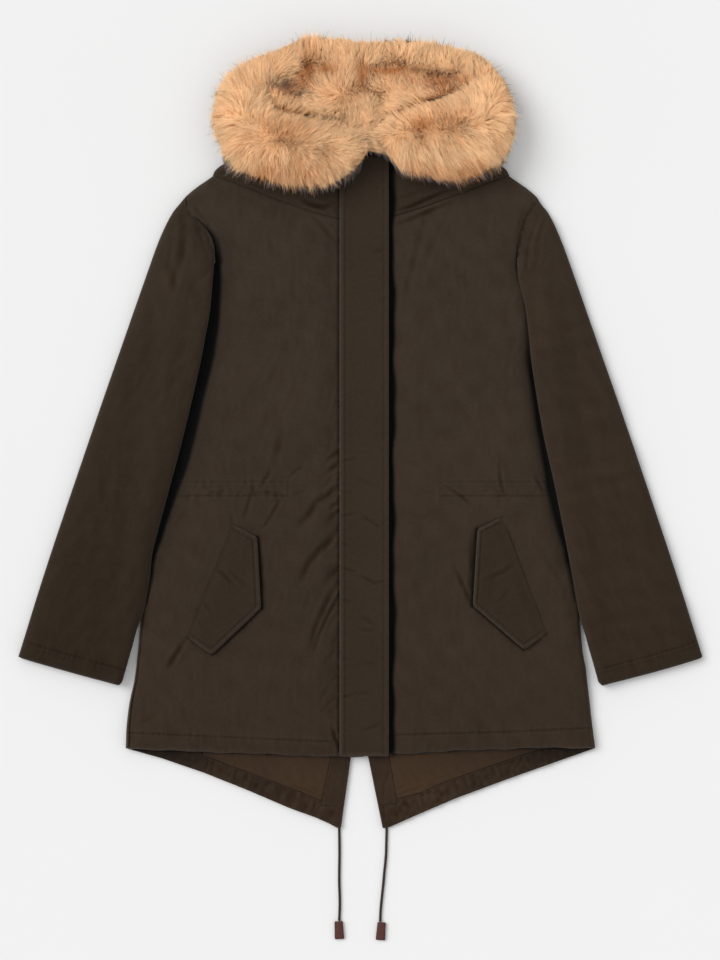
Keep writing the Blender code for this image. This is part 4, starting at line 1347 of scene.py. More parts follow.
@dataclass(frozen=True)
class FlapForm:
    """A pocket flap's cut: its top corner, three free corners, then the foot of its sewn edge.

    Attributes:
        shadow: How wide the painted shadow is beside each of its four free edges.
        rim_inset: From its free edge to its stitch row.
    """

    side: Side
    corners: Line
    shadow: tuple[float, float, float, float]
    rim_inset: float = 6

    @property
    def outline(self) -> Array:
        """The closed cut outline, its corners a little rounded."""
        corners = self.side.mirror(self.corners)
        soft: list[Point] = []
        for before, here, after in zip(np.roll(corners, 1, axis=0), corners, np.roll(corners, -1, axis=0)):
            start = here + (before - here) * min(0.25, 4 / math.dist(before, here))
            end = here + (after - here) * min(0.25, 4 / math.dist(after, here))
            for share in (0, 0.33, 0.67, 1):
                soft.append(tuple((1 - share) ** 2 * start + 2 * share * (1 - share) * here + share**2 * end))
        return closed_outline(straight_run([*soft, soft[0]], OUTLINE_STEP))

    @property
    def free_edge(self) -> Array:
        """The edge that stands off the front."""
        return self.side.mirror(self.corners)

    @property
    def sewn_edge(self) -> Array:
        """The edge that is sewn down."""
        return self.side.mirror((self.corners[4], self.corners[0]))

    def shade(self, x: Array, y: Array) -> Array:
        """How deep in the flap's shade the front lies."""
        dark = np.zeros(np.shape(x))
        for start, end, width in zip(self.free_edge, self.free_edge[1:], self.shadow):
            away = distance_to((start, end), x, y)
            dark = np.maximum(dark, min(1, width / 3) * (1 - smoothstep((away - 0.4 * width) / width)))
        return dark

    def inset(self, distance: float) -> Line:
        """The free edge moved inwards by a distance, with its corners mitred."""
        edge = [np.array(point) for point in self.free_edge]
        middle = self.outline.mean(axis=0)
        lines = []
        for start, end in zip(edge, edge[1:]):
            across = np.array((-(end - start)[1], (end - start)[0])) / math.dist(start, end)
            if np.dot(middle - start, across) < 0:
                across = -across
            lines.append((start + across * distance, end + across * distance))
        knots = [lines[0][0]]
        for (a, b), (c, d) in zip(lines, lines[1:]):
            r, s = b - a, d - c
            share = ((c - a)[0] * s[1] - (c - a)[1] * s[0]) / (r[0] * s[1] - r[1] * s[0])
            knots.append(a + r * share)
        return as_line([*knots, lines[-1][1]])


FLAPS = {
    Side.RIGHT: FlapForm(Side.RIGHT, ((172.4, -120.4), (139.6, -138.7), (134.4, -233.6), (200.2, -296),
                                      (234, -272.6)), (1, 3.4, 2.5, 1.2)),
    Side.LEFT: FlapForm(Side.LEFT, ((189.4, -111.2), (156.6, -127.4), (150.4, -230), (219.4, -289.6),
                                    (249.8, -268)), (1.5, 3.6, 2.4, 1.6)),
}


@dataclass(frozen=True)
class BodyForm:
    """One half's padded front before its creases, and the valley between it and its sleeve.

    Attributes:
        valley: How wide the valley beside the sleeve is, where the front gets painted shade: places in Y, and
            widths.
        parting: The Y below which sleeve and front lie apart, and the one above which they are one surface.
        shade_top: The Y where the valley's shade begins, and how far it takes to deepen.
        filled: The Y above which the valley fills up, and how far it takes.
        shoulder_filled: The same beside the shoulder.
        hem_filled: The Y below which it fills up again, and how far it takes.
        cuff_y: The Y down to which the sleeve lies over the body.
    """

    cut: Pattern
    valley: Line
    parting: tuple[float, float]
    shade_top: tuple[float, float]
    filled: tuple[float, float]
    hem_slope: float = 24
    side_slope: float = 34
    armhole_slope: float = 30
    neck_slope: float = 34
    shoulder_slope: float = 22
    armhole_share: float = 0.62
    neck_share: float = 0.42
    valley_wall: float = 15
    shoulder_filled: tuple[float, float] = (232, 35)
    hem_filled: tuple[float, float] = (-220, 30)
    cuff_y: float = -330

    def past_sleeve(self, x: Array, y: Array) -> Array:
        """How far inside the body each point is from the sleeve's edge, less the valley's width."""
        side = self.cut.side
        edge = self.cut.lies(self.cut.sleeve_inner[2:], self.cut.armhole[:2:-1])
        beside = np.interp(y, edge[:, 1], edge[:, 0] * side.value)
        away = distance_to(edge, x, y) * np.where(x * side.value < beside, 1, -1)
        places, widths = zip(*sorted(self.valley))
        return away - np.interp(y, places, widths)

    def joined(self, y: Array) -> Array:
        """How far sleeve and front are one surface: 0 where they lie apart, 1 near the shoulder."""
        low, high = self.parting
        return smoothstep((y - low) / (high - low))

    def flush(self, x: Array, y: Array) -> Array:
        """Where sleeve and collar meet the front in a flat seam, so that neither is rounded."""
        armhole, neck = (self.cut.away(x, y, line, step=OUTLINE_STEP)
                         for line in (self.cut.armhole, self.cut.neck))
        return np.maximum(self.joined(y) * (1 - smoothstep((armhole - 1) / 8)),
                          0.8 * (1 - smoothstep((neck - 1) / 5)))

    def armhole_rise(self, x: Array, y: Array, line: Array, share: float) -> Array:
        """How full a piece is beside the armhole: soft above where the sleeve parts, round below it.

        Args:
            x: The points' X.
            y: The points' Y.
            line: The armhole's line.
            share: How full it stays at the seam where sleeve and front are one surface.

        Returns:
            The fullness, from 0 to 1.
        """
        joined = self.joined(y)
        away = distance_to(line, x, y)
        soft = share + (1 - share) * smoothstep(away / (1.3 * self.armhole_slope))
        return joined * soft + (1 - joined) * dome(away / self.armhole_slope)

    def front_bottom(self, x: Array, y: Array) -> Array:
        """The front's inside: on the back at the seams, a little off it elsewhere."""
        cut = self.cut
        seams = cut.lies(cut.neck, cut.shoulder, cut.armhole, cut.armhole_under, cut.side_seam)
        rise = smoothstep(distance_to(seams, x, y) / 24)
        return LAYERS.front_seam_bottom + LAYERS.front_air * rise * 0.6

    def front_top(self, x: Array, y: Array) -> Array:
        """The front's outside: pressed at the side seam and hem, soft at the others, full between."""
        cut = self.cut
        valley = dome(self.past_sleeve(x, y) / self.valley_wall)
        (start, over), (shoulder, above), (hem, below) = self.filled, self.shoulder_filled, self.hem_filled
        filled = smoothstep((y - start) / over) * smoothstep(1 + self.past_sleeve(x, y) / 8)
        filled = np.maximum.reduce(
            [filled, smoothstep((y - shoulder) / above), smoothstep((hem - y) / below)])
        valley = valley + (1 - valley) * filled
        neck = smoothstep(cut.away(x, y, cut.neck) / self.neck_slope)
        armhole = cut.lies(cut.armhole, cut.armhole_under, step=OUTLINE_STEP)
        rise = np.minimum.reduce([
            dome(cut.away(x, y, cut.side_seam) / self.side_slope),
            self.armhole_rise(x, y, armhole, self.armhole_share),
            self.neck_share + (1 - self.neck_share) * neck,
            dome(cut.away(x, y, cut.shoulder) / self.shoulder_slope),
            0.34 + 0.66 * dome(cut.away(x, y, cut.hem) / self.hem_slope),
            valley,
        ])
        top = LAYERS.front_seam_top + (LAYERS.front_full - LAYERS.front_seam_top) * rise
        return np.maximum(PLACKET_FORM.bed(x, y, top), self.front_bottom(x, y) + 1.2)

    def front_shade(self, x: Array, y: Array) -> Array:
        """How deep in shade the front lies: in the sleeve's valley, beside the placket and the flap."""
        past = self.past_sleeve(x, y)
        top, fade = self.shade_top
        shown = smoothstep((top - y) / fade) * smoothstep((y + 215) / 50)
        valley = np.maximum(1 - smoothstep((past + 2.5) / 8.5), 0.28 * (1 - smoothstep((past + 4) / 30)))
        return np.maximum.reduce([valley * shown, PLACKET_FORM.shade(x, y), FLAPS[self.cut.side].shade(x, y)])

    def sleeve_seat(self, x: Array, y: Array) -> Array:
        """The under sleeve's underside: on the surface, and over the body's side where it crosses it."""
        cut = self.cut
        crossed = cut.lies(cut.armhole_under[1:],
                           tuple(point for point in cut.side_seam[1:] if point[1] > self.cuff_y))
        half = closed_outline(
            cut.lies(cut.neck, cut.shoulder, cut.armhole, cut.armhole_under, cut.side_seam, cut.hem))
        slope = np.minimum(
            smoothstep(cut.away(x, y, cut.side_seam) / 60),
            dome(cut.away(x, y, cut.armhole, cut.armhole_under) / self.armhole_slope),
        )
        pressed = LAYERS.front_seam_top + LAYERS.sleeve_clearance
        over = pressed + (LAYERS.front_full - LAYERS.front_seam_top) * slope
        off_body = pressed * (1 - smoothstep((distance_to(crossed, x, y) - 7) / 36))
        return np.where(is_inside(half, x, y), over, off_body)


BODY = {
    Side.RIGHT: BodyForm(
        PATTERNS[Side.RIGHT],
        ((294, 0.5), (281, 2.5), (269, 5), (255, 7), (229, 8), (209, 9), (168, 12), (148, 13.5), (108, 15),
         (67, 14.5), (47, 14), (-14, 15), (-34, 15), (-55, 14), (-75, 11.5), (-115, 8), (-136, 7),
         (-156, 4.5), (-176, 2), (-230, 1)),
        (258, 302), (290, 24), (232, 35)),
    Side.LEFT: BodyForm(
        PATTERNS[Side.LEFT],
        ((250, 0.3), (200, 0.6), (160, 1), (128, 1.8), (108, 3), (87, 4), (47, 4), (6, 6), (-14, 5.5),
         (-55, 8), (-75, 9.5), (-115, 8), (-136, 5.5), (-156, 3), (-196, 2), (-240, 1.5)),
        (222, 264), (132, 44), (105, 110)),
}


@dataclass
class HalfPiece:
    """What is cut by one half's lines and fitted to that half's padded front."""

    side: Side

    @property
    def cut(self) -> Pattern:
        """The half's cut lines."""
        return PATTERNS[self.side]

    @property
    def body(self) -> BodyForm:
        """The half's padded front."""
        return BODY[self.side]


@dataclass
class FrontPanel(HalfPiece):
    """A front, its waist channel, hem and stitch rows.

    Attributes:
        waist: The gathered stretch's inner and outer X, from the centre.
        seam_depth: How deeply the side seam is pressed.
        drawn: The Y between which the placket's seam draws the cloth into short folds, or None.
        waist_rows: The Y of the waist's stitch rows.
        seam_inset: From the side seam to its pressed line.
        seam_row_top: The Y where that line starts.
    """

    creases: tuple[Crease, ...]
    waist: tuple[float, float]
    hem_row: Line
    seam_depth: float
    seed: int
    drawn: tuple[float, float] | None = None
    gather: float = 1
    waist_rows: tuple[float, float] = (-62, -83)
    seam_inset: float = 5.5
    seam_row_top: float = -230

    def outline(self) -> Array:
        """The front's cut outline."""
        cut = self.cut
        meet = PLACKET_FORM.meet_x * self.side.value + LAYERS.gap / 2
        neck = as_line((max(x, meet), y) for x, y in cut.neck)
        wavy = smooth_run(cut.hem, 5)
        wavy[1:-1, 1] += 0.5 * np.sin(wavy[1:-1, 0] / 7 + self.seed) + 0.4 * np.sin(wavy[1:-1, 0] / 17)
        hem = as_line((max(x, meet), y) for x, y in wavy)
        return cut.outline(neck, cut.shoulder, cut.armhole, cut.armhole_under, cut.side_seam, hem,
                           (hem[-1], neck[0]))

    def side_row(self) -> Line:
        """The pressed line inside the side seam, below the sleeve, further in towards the hem."""
        top, seam = self.seam_row_top, self.cut.side_seam
        return as_line(self.side.mirror(
            (x - self.seam_inset * (0.4 + (y - top) / -330), y) for x, y in seam if y < top))

    def waist_line(self, y: float) -> Line:
        """The waist's gathered stretch at a height."""
        inner, outer = self.waist
        return ((self.side.value * inner, y), (self.side.value * outer, y))

    def gathers(self) -> list[Relief]:
        """The waist channel: two stitched rows, puffed cloth between, and small uneven gathers."""
        inner, outer = self.waist
        top, low = self.waist_rows
        sign = self.side.value
        rng = np.random.default_rng(self.seed)
        parts: list[Relief] = [Crease(self.waist_line(top), -0.8, 1.3, 0.3, tapered=False),
                               Crease(self.waist_line(top - 6), -0.7, 1.3, 0.3, tapered=False),
                               Crease(self.waist_line(low), 1, 1.4, 0.5, tapered=False),
                               Puckers(self.waist_line(low - 1), 12, 0.4 * self.gather, 5, self.seed),
                               Puckers(self.waist_line(low + 3), 19, 0.9 * self.gather, 4.5, self.seed + 0.7),
                               Puckers(self.waist_line(top - 3), 13, 0.6 * self.gather, 6, self.seed + 1.9),
                               Crease(((sign * inner, top + 2), (sign * inner, low - 2)), 0.8, 1.2, 0.5)]
        for place in np.linspace(inner + 5, outer - 4, 13):
            x, y = sign * (place + rng.uniform(-6, 6)), low + rng.uniform(-2, 14)
            lean, up, down = rng.uniform(-8, 8), rng.uniform(3, 12), rng.uniform(3, 14)
            line = ((x + lean, y + up), (x, y), (x - lean, y - down))
            parts.append(Crease(line, self.gather * rng.uniform(0.2, 0.8), rng.uniform(1.5, 3.2), 0.6))
        return parts

    def drawn_folds(self) -> list[Relief]:
        """Short slanting folds where the placket's seam draws the front in."""
        parts: list[Relief] = []
        if self.drawn:
            rng = np.random.default_rng(self.seed + 9)
            y, low = self.drawn
            x = PLACKET_FORM.sewn_x - 1.5
            while y > low:
                length, turn = rng.uniform(10, 34), rng.uniform(0.5, 1)
                across, down = length * math.cos(turn), length * math.sin(turn)
                line = ((x, y), (x - 0.5 * across, y - 0.38 * down), (x - across, y - down))
                parts.append(Crease(line, rng.uniform(0.2, 0.9), rng.uniform(1.8, 3.4), 0.6))
                y -= rng.uniform(12, 32)
        return parts

    def reliefs(self) -> list[Relief]:
        """Everything pressed, drawn or folded into the front."""
        hem_edge = as_line(self.cut.lies(self.cut.hem[:-1]))
        return [
            Ripples(self.seed, 0.55, 60, 150),
            Ripples(self.seed + 5, 0.13, 9, 24, 0, 0.8),
            Ripples(self.seed + 6, 0.28, 20, 44),
            Crease(self.hem_row, 1.1, 1.4, 0.6, tapered=False),
            Puckers(self.hem_row, 9, 0.45, 8, self.seed + 1),
            Puckers(hem_edge, 12, 0.6, 8, self.seed + 3),
            Crease(self.side_row(), self.seam_depth, 1.2, 0.5, tapered=False),
            Puckers(self.side_row(), 16, 0.25, 8, self.seed + 2),
            *self.gathers(), *self.drawn_folds(), *self.creases, *self.flap_dip(),
        ]

    def flap_dip(self) -> list[Relief]:
        """The trough that the pocket flap's free edge leaves in the front."""
        edge = FLAPS[self.side].free_edge
        if self.side is Side.LEFT:
            return [Crease(as_line(edge[1:3] - (2.5, 0)), 2.4, 4, 0.2),
                    Crease(as_line(edge[2:4]), 1.6, 2.8, 0.2)]
        return [Crease(as_line(edge[1:3] + (2.5, -0.5)), 2.4, 3.2, 0.15),
                Crease(as_line(edge[2:4] + (1, -1.5)), 1.6, 2.4, 0.2)]

    def make(self) -> None:
        """Make the front and sew its rows."""
        label, form = self.side.label, self.body
        piece = ClothPiece(f"front_{label}_panel", self.outline(), form.front_bottom, form.front_top,
                           self.reliefs(), form.front_shade, flush=form.flush)
        piece.declare(piece.make(), [f"front_{label}"])
        rows = [*map(self.waist_line, self.waist_rows), self.hem_row, self.side_row()]
        sew(f"front_{label}_stitches", [StitchRun(row, piece.outside) for row in rows])


FRONTS = (
    FrontPanel(Side.RIGHT, folds(
        (((-105, 20), (-111, -18), (-118, -42), (-127, -58)), 1.3, 4.5),
        (((-122, -50), (-127, -58), (-133, -70)), 1.6, 2.4, 0.6),
        (((-146, -70), (-148, -84), (-153, -100), (-157, -114)), 1.8, 2.6, 0.6),
        (((-116, -78), (-110, -91), (-126, -119), (-136, -129)), 1.7, 2.3, 0.6),
        (((-78, -43), (-88, -50), (-98, -59)), 1.5, 2.4),
        (((-75, -76), (-92, -82)), 1, 2.2),
        (((-36, -78), (-60, -100), (-84, -130)), 2.2, 8, 0.25),
        (((-34, -142), (-60, -168), (-84, -206)), 2.5, 9, 0.25),
        (((-34, -222), (-58, -272), (-70, -312)), 2.4, 8, 0.25),
        (((-22, -20), (-46, -36)), 1.3, 3),
        (((-22, -36), (-40, -46), (-52, -56)), 1.4, 2.8, 0.35),
        (((-21, -66), (-44, -82), (-58, -90), (-70, -108), (-86, -126)), 2.4, 3.9, 0.35),
        (((-24, -88), (-38, -97), (-42, -106)), 1.4, 2.4),
        (((-23, -100), (-36, -108), (-44, -116)), 1.4, 2.8, 0.35),
        (((-21, -118), (-40, -140), (-56, -156), (-72, -176), (-84, -204)), 2.4, 3.8, 0.35),
        (((-20, -166), (-34, -184), (-48, -202)), 1.8, 3.4, 0.35),
        (((-22, -184), (-36, -210), (-50, -234), (-62, -262), (-70, -300)), 2.3, 3.4, 0.35),
        (((-22, -204), (-38, -232), (-54, -264), (-66, -300)), 1.9, 2.2, 0.6),
        (((-42, -338), (-55, -358)), 1.3, 2.8),
        (((-39, -392), (-34, -410), (-28, -426)), 2.9, 2.6, 0.5),
        (((-201, -78), (-193, -80), (-184, -78)), 1.2, 2.4, 0.6),
        (((-150, -80), (-125, -79), (-103, -82)), 1.3, 2.4, 0.6),
        (((-173, -103), (-173, -122)), 1.1, 2.2),
        (((-241, -99), (-258, -126)), -0.8, 3, 0.4),
        (((-234, -273), (-241, -284), (-249, -297), (-262, -318)), 2.8, 3.4, 0.4),
        (((-269, -372), (-286, -383), (-304, -393)), 0.9, 3.6),
        (((-83, 315), (-62, 308), (-40, 306)), 1.9, 2.6, 0.5),
        (((-67, 298), (-52, 281), (-31, 257)), 1.5, 3.2, 0.5),
        (((-212, 296), (-204, 274), (-197, 240), (-191, 200)), 1.9, 3, 0.5),
        (((-226, 312), (-210, 284)), 1.3, 2.6, 0.5),
        (((-180, 300), (-172, 258), (-178, 214)), 0.4, 6),
        (((-95, -150), (-110, -215), (-98, -290)), 0.5, 7),
        (((-120, -300), (-170, -345), (-230, -360)), 0.4, 8),
    ), (98, 248), ((-313, -401.6), (-38, -413.8)), 2.2, 3, (46, -412)),
    FrontPanel(Side.LEFT, folds(
        (((113, -69), (134, -82), (149, -95)), 1.9, 2.2, 0.6),
        (((186, -38), (188, -61), (193, -82)), 1.9, 2.4, 0.8),
        (((233, -53), (247, -80)), 1.7, 2.4, 0.5),
        (((152, -133), (148, -160), (151, -190)), 1.2, 4, 0.2),
        (((126, -178), (140, -208), (150, -231)), 2.1, 2.8, 0.5),
        (((107, -280), (131, -318), (160, -345)), 0.4, 6),
        (((98, 318), (80, 270), (66, 215), (56, 165)), 1, 4, 0.5),
        (((126, 318), (98, 262), (78, 205)), 0.6, 4, 0.5),
        (((46, 281), (70, 291), (104, 306), (128, 317)), 2.6, 3, 0.4),
        (((221, 312), (214, 280), (207, 242)), 1.5, 3, 0.5),
        (((232, 300), (222, 268), (214, 236)), 1.1, 2.6, 0.5),
        (((52, -30), (80, -44), (104, -66)), 0.6, 3.6),
        (((54, -100), (82, -112), (110, -98)), 0.6, 3.6),
        (((56, -180), (78, -210), (90, -255)), 0.5, 5),
        (((180, -310), (230, -340), (292, -352)), 0.5, 6),
        (((240, -150), (262, -188), (276, -210)), 0.9, 4),
    ), (107, 252), ((45, -404.4), (180, -401), (311, -395.4)), 0.3, 8, gather=0.55),
)


@dataclass
class PocketFlap:
    """A slanted pocket flap with a stitched rim, lying on its front."""

    form: FlapForm
    creases: tuple[Crease, ...]

    def bottom(self, x: Array, y: Array) -> Array:
        """The flap's inside, on the front at its sewn edge and standing off it at the free one."""
        free = 1 - smoothstep(distance_to(self.form.free_edge, x, y) / 30)
        from_seam = smoothstep(distance_to(self.form.sewn_edge, x, y) / 30)
        return BODY[self.form.side].front_top(x, y) + LAYERS.gap + LAYERS.flap_lift * free * from_seam

    def top(self, x: Array, y: Array) -> Array:
        """The flap's outside before its wrinkles."""
        from_seam = smoothstep(distance_to(self.form.sewn_edge, x, y) / 18)
        return self.bottom(x, y) + LAYERS.flap_wall * (0.24 + 0.76 * from_seam)

    def flush(self, x: Array, y: Array) -> Array:
        """Where the flap's sewn edge lies flat on the front."""
        return 1 - smoothstep((distance_to(self.form.sewn_edge, x, y) - 2) / 5)

    def make(self) -> None:
        """Make the flap and sew its rim."""
        side = self.form.side
        row = self.form.inset(self.form.rim_inset)
        reliefs: list[Relief] = [
            Crease(row, 1, 1.3, 0.4, tapered=False),
            Crease(self.form.inset(self.form.rim_inset * 0.45), -0.7, 2, 0, tapered=False),
            Puckers(row, 9, 0.3, 6, 4 + side.value),
            Ripples(21 + side.value, 0.30, 30, 70), Ripples(25 + side.value, 0.15, 14, 40),
            *self.creases,
        ]
        piece = ClothPiece(f"pocket_flap_{side.label}_cloth", self.form.outline, self.bottom, self.top,
                           reliefs, finish=FLAP_SHELL, lattice=2.2, rim=2.6, rim_share=0.5, flush=self.flush)
        piece.declare(piece.make(), [f"pocket_flap_{side.label}"])
        sew(f"pocket_flap_{side.label}_stitches",
            [StitchRun(line, piece.outside) for line in (row, self.form.inset(1.6))])


POCKET_FLAPS = (
    PocketFlap(FLAPS[Side.RIGHT], folds(
        (((-196, -181), (-185, -188), (-170, -203)), 1.9, 2.6, 0.6),
        (((-178, -183), (-163, -196), (-152, -205)), 1.1, 2.4, 0.6),
        (((-213, -226), (-200, -240)), 1.5, 2.6, 0.5),
        (((-160, -150), (-150, -164)), 0.6, 3),
    )),
    PocketFlap(FLAPS[Side.LEFT], folds(
        (((208, -174), (194, -184), (167, -196)), 1.5, 3.2, 0.6),
        (((199, -211), (187, -225)), 1.1, 2.6, 0.5),
    )),
)


@dataclass
class Sleeve(HalfPiece):
    """A sleeve laid beside the body: an under layer, and a padded upper layer with a stitched cuff."""

    creases: tuple[Crease, ...]
    seed: int
    finish: ClothFinish
    slope: float = 32
    cuff_inset: float = 20
    armhole_share: float = 0.54

    def outline(self) -> Array:
        """The sleeve's outline as it lies."""
        cut = self.cut
        return cut.outline(cut.sleeve_outer, cut.cuff, cut.sleeve_inner, cut.armhole[::-1])

    def rise(self, x: Array, y: Array) -> Array:
        """How full the sleeve is: 0 at its folds and seams, 1 along its middle."""
        cut, form = self.cut, self.body
        return np.minimum.reduce([
            dome(cut.away(x, y, cut.sleeve_outer) / self.slope),
            dome(cut.away(x, y, cut.sleeve_inner) / self.slope),
            form.armhole_rise(x, y, cut.lies(cut.armhole, step=OUTLINE_STEP), self.armhole_share),
            0.35 + 0.65 * dome(cut.away(x, y, cut.cuff) / form.hem_slope),
        ])

    def cuff_row(self, inset: float) -> Line:
        """A row parallel to the cuff's edge."""
        knots = np.array(self.cut.cuff[:-1]) + np.array((-0.29, 0.957)) * inset
        knots[0] += (-2, 0.5)
        knots[-1] += (-10, -3)
        return as_line(self.side.mirror(knots))

    def under_top(self, x: Array, y: Array) -> Array:
        """The under layer's outside."""
        return self.body.sleeve_seat(x, y) + LAYERS.sleeve_wall

    def inside(self, x: Array, y: Array) -> Array:
        """The upper layer's inside."""
        return self.under_top(x, y) + LAYERS.gap + LAYERS.sleeve_air * smoothstep(self.rise(x, y))

    def outside(self, x: Array, y: Array) -> Array:
        """The upper layer's outside before its creases, level with the front at their flat seam."""
        form, cut = self.body, self.cut
        full = (LAYERS.sleeve_air + LAYERS.sleeve_puff) * self.rise(x, y)
        top = self.under_top(x, y) + LAYERS.gap + LAYERS.seam_wall + full
        level = LAYERS.front_seam_top + (LAYERS.front_full - LAYERS.front_seam_top) * form.armhole_share
        seam = cut.away(x, y, cut.armhole, step=OUTLINE_STEP)
        return top + np.minimum(level - top, 0) * form.joined(y) * (1 - smoothstep(seam / 20))

    def make(self) -> None:
        """Make both layers and sew the cuff."""
        label, outline = self.side.label, self.outline()
        under = ClothPiece(f"sleeve_{label}_under_cloth", outline, self.body.sleeve_seat,
                           self.under_top, finish=self.finish, lattice=6, bend_limit=0.8)
        under.declare(under.make(), [f"sleeve_{label}_under"])
        row = self.cuff_row(self.cuff_inset)
        cuff_edge = as_line(self.cut.lies(self.cut.cuff))
        along = math.radians(-71 if self.side is Side.LEFT else -109)
        reliefs: list[Relief] = [
            Ripples(self.seed, 0.6, 50, 130, along, 1.6),
            Ripples(self.seed + 1, 0.14, 9, 24, along + 1.57, 0.8),
            Ripples(self.seed + 2, 0.30, 20, 44),
            Crease(row, -1, 1.7, 0.3, tapered=False),
            Crease(self.cuff_row(self.cuff_inset + 3.2), 1, 1.4, 0.5, tapered=False),
            Puckers(row, 9, 0.8, 7, self.seed + 0.5),
            Puckers(cuff_edge, 12, 0.4, 6, self.seed + 2.5),
            *self.creases,
        ]
        upper = ClothPiece(f"sleeve_{label}_upper_cloth", outline, self.inside, self.outside, reliefs,
                           finish=self.finish, rim=3, flush=self.body.flush)
        upper.declare(upper.make(), [f"sleeve_{label}_upper"])
        sew(f"sleeve_{label}_stitches", [StitchRun(row, upper.outside)])


SLEEVES = (
    Sleeve(Side.RIGHT, folds(
        (((-232, 300), (-222, 286), (-214, 264), (-208, 240)), 0.9, 2.6, 0.5),
        (((-235, 298), (-238, 262), (-244, 232), (-254, 192)), 2, 5, 0.5),
        (((-252, 262), (-256, 226), (-252, 190)), 1.2, 4.5, 0.6),
        (((-222, 180), (-240, 140), (-236, 92)), 0.5, 6),
        (((-300, 150), (-272, 118), (-250, 100)), 0.5, 6),
        (((-246, 6), (-280, -12), (-330, -20)), 0.5, 7),
        (((-262, -60), (-300, -84), (-348, -90)), 0.5, 7),
        (((-300, -30), (-322, -80), (-330, -130)), 0.4, 7),
        (((-282, -128), (-312, -150), (-372, -158)), 0.5, 7),
        (((-302, -210), (-338, -228), (-402, -236)), 0.5, 7),
    # The right sleeve is the same cloth as the left, darker as painted shade.
    ), 31, replace(SLEEVE_SHELL, name="Brown cotton twill of the right sleeve",
                colour=(0.0287, 0.0191, 0.0115), low=(0.0187, 0.0111, 0.0050))),
    Sleeve(Side.LEFT, folds(
        (((242, 306), (236, 288), (227, 262), (222, 236), (223, 205)), 1.1, 2.6, 0.5),
        (((248, 290), (240, 268), (234, 244)), 1.5, 3, 0.6),
        (((244, 264), (236, 236), (224, 206)), 1, 3.6),
        (((228, 250), (221, 226), (215, 200)), 1.1, 2.8),
        (((262, 230), (258, 190), (246, 150)), 0.5, 6),
        (((250, 100), (282, 82), (318, 90)), 0.5, 7),
        (((262, 20), (300, 4), (344, 8)), 0.5, 7),
        (((276, -40), (310, -70), (366, -72)), 0.5, 7),
        (((292, -120), (330, -140), (384, -132)), 0.5, 7),
        (((306, -190), (346, -212), (410, -206)), 0.5, 7),
    ), 47, SLEEVE_SHELL),
)


@dataclass
class StandCollar(HalfPiece):
    """Half of the stand collar, between the neck seam and the fur."""

    creases: tuple[Crease, ...] = ()
    rise_slope: float = 24
    neck_share: float = 0.55

    def bottom(self, x: Array, y: Array) -> Array:
        """The collar's inside."""
        cut = self.cut
        rise = smoothstep(cut.away(x, y, cut.neck, cut.collar_end) / 24)
        return LAYERS.front_seam_bottom + LAYERS.front_air * rise * 0.6

    def top(self, x: Array, y: Array) -> Array:
        """The collar's outside before its creases."""
        cut = self.cut
        neck = smoothstep(cut.away(x, y, cut.neck) / self.rise_slope)
        end = dome(cut.away(x, y, cut.collar_end) / self.rise_slope)
        rise = np.minimum(self.neck_share + (1 - self.neck_share) * neck, end)
        full = LAYERS.front_seam_top + (LAYERS.collar_full - LAYERS.front_seam_top) * rise
        return np.maximum(PLACKET_FORM.bed(x, y, full), self.bottom(x, y) + 1.2)

    def make(self) -> None:
        """Make the half collar."""
        side, cut = self.side, self.cut
        meet = PLACKET_FORM.meet_x * side.value + LAYERS.gap / 2
        neck = as_line((max(x, meet), y + 0.4) for x, y in cut.neck)
        upper = as_line((max(x, meet), y) for x, y in cut.collar_top)
        reliefs: list[Relief] = [Puckers(as_line(cut.lies(cut.neck)), 17, 0.3, 10, 2 + side.value),
                                 Ripples(61 + side.value, 0.35, 30, 80), *self.creases]
        outline = cut.outline(neck, cut.collar_end, upper, (upper[-1], neck[0]))
        piece = ClothPiece(f"collar_{side.label}_cloth", outline, self.bottom, self.top, reliefs,
                           PLACKET_FORM.shade, finish=COLLAR_SHELL, lattice=3.2, flush=self.body.flush)
        piece.declare(piece.make(), [f"collar_{side.label}"],
                      flat=(line_length(cut.neck) + 4, 62))


COLLARS = (
    StandCollar(Side.RIGHT, folds((((-82, 319), (-69, 310), (-50, 306), (-36, 311)), 3.4, 3.2, 0.5))),
    StandCollar(Side.LEFT, folds(
        (((42, 300), (66, 306), (90, 317), (124, 332)), 3.2, 2.8, 0.5),
        (((44, 316), (66, 322), (88, 333)), 1.3, 2.4, 0.5),
    )),
)


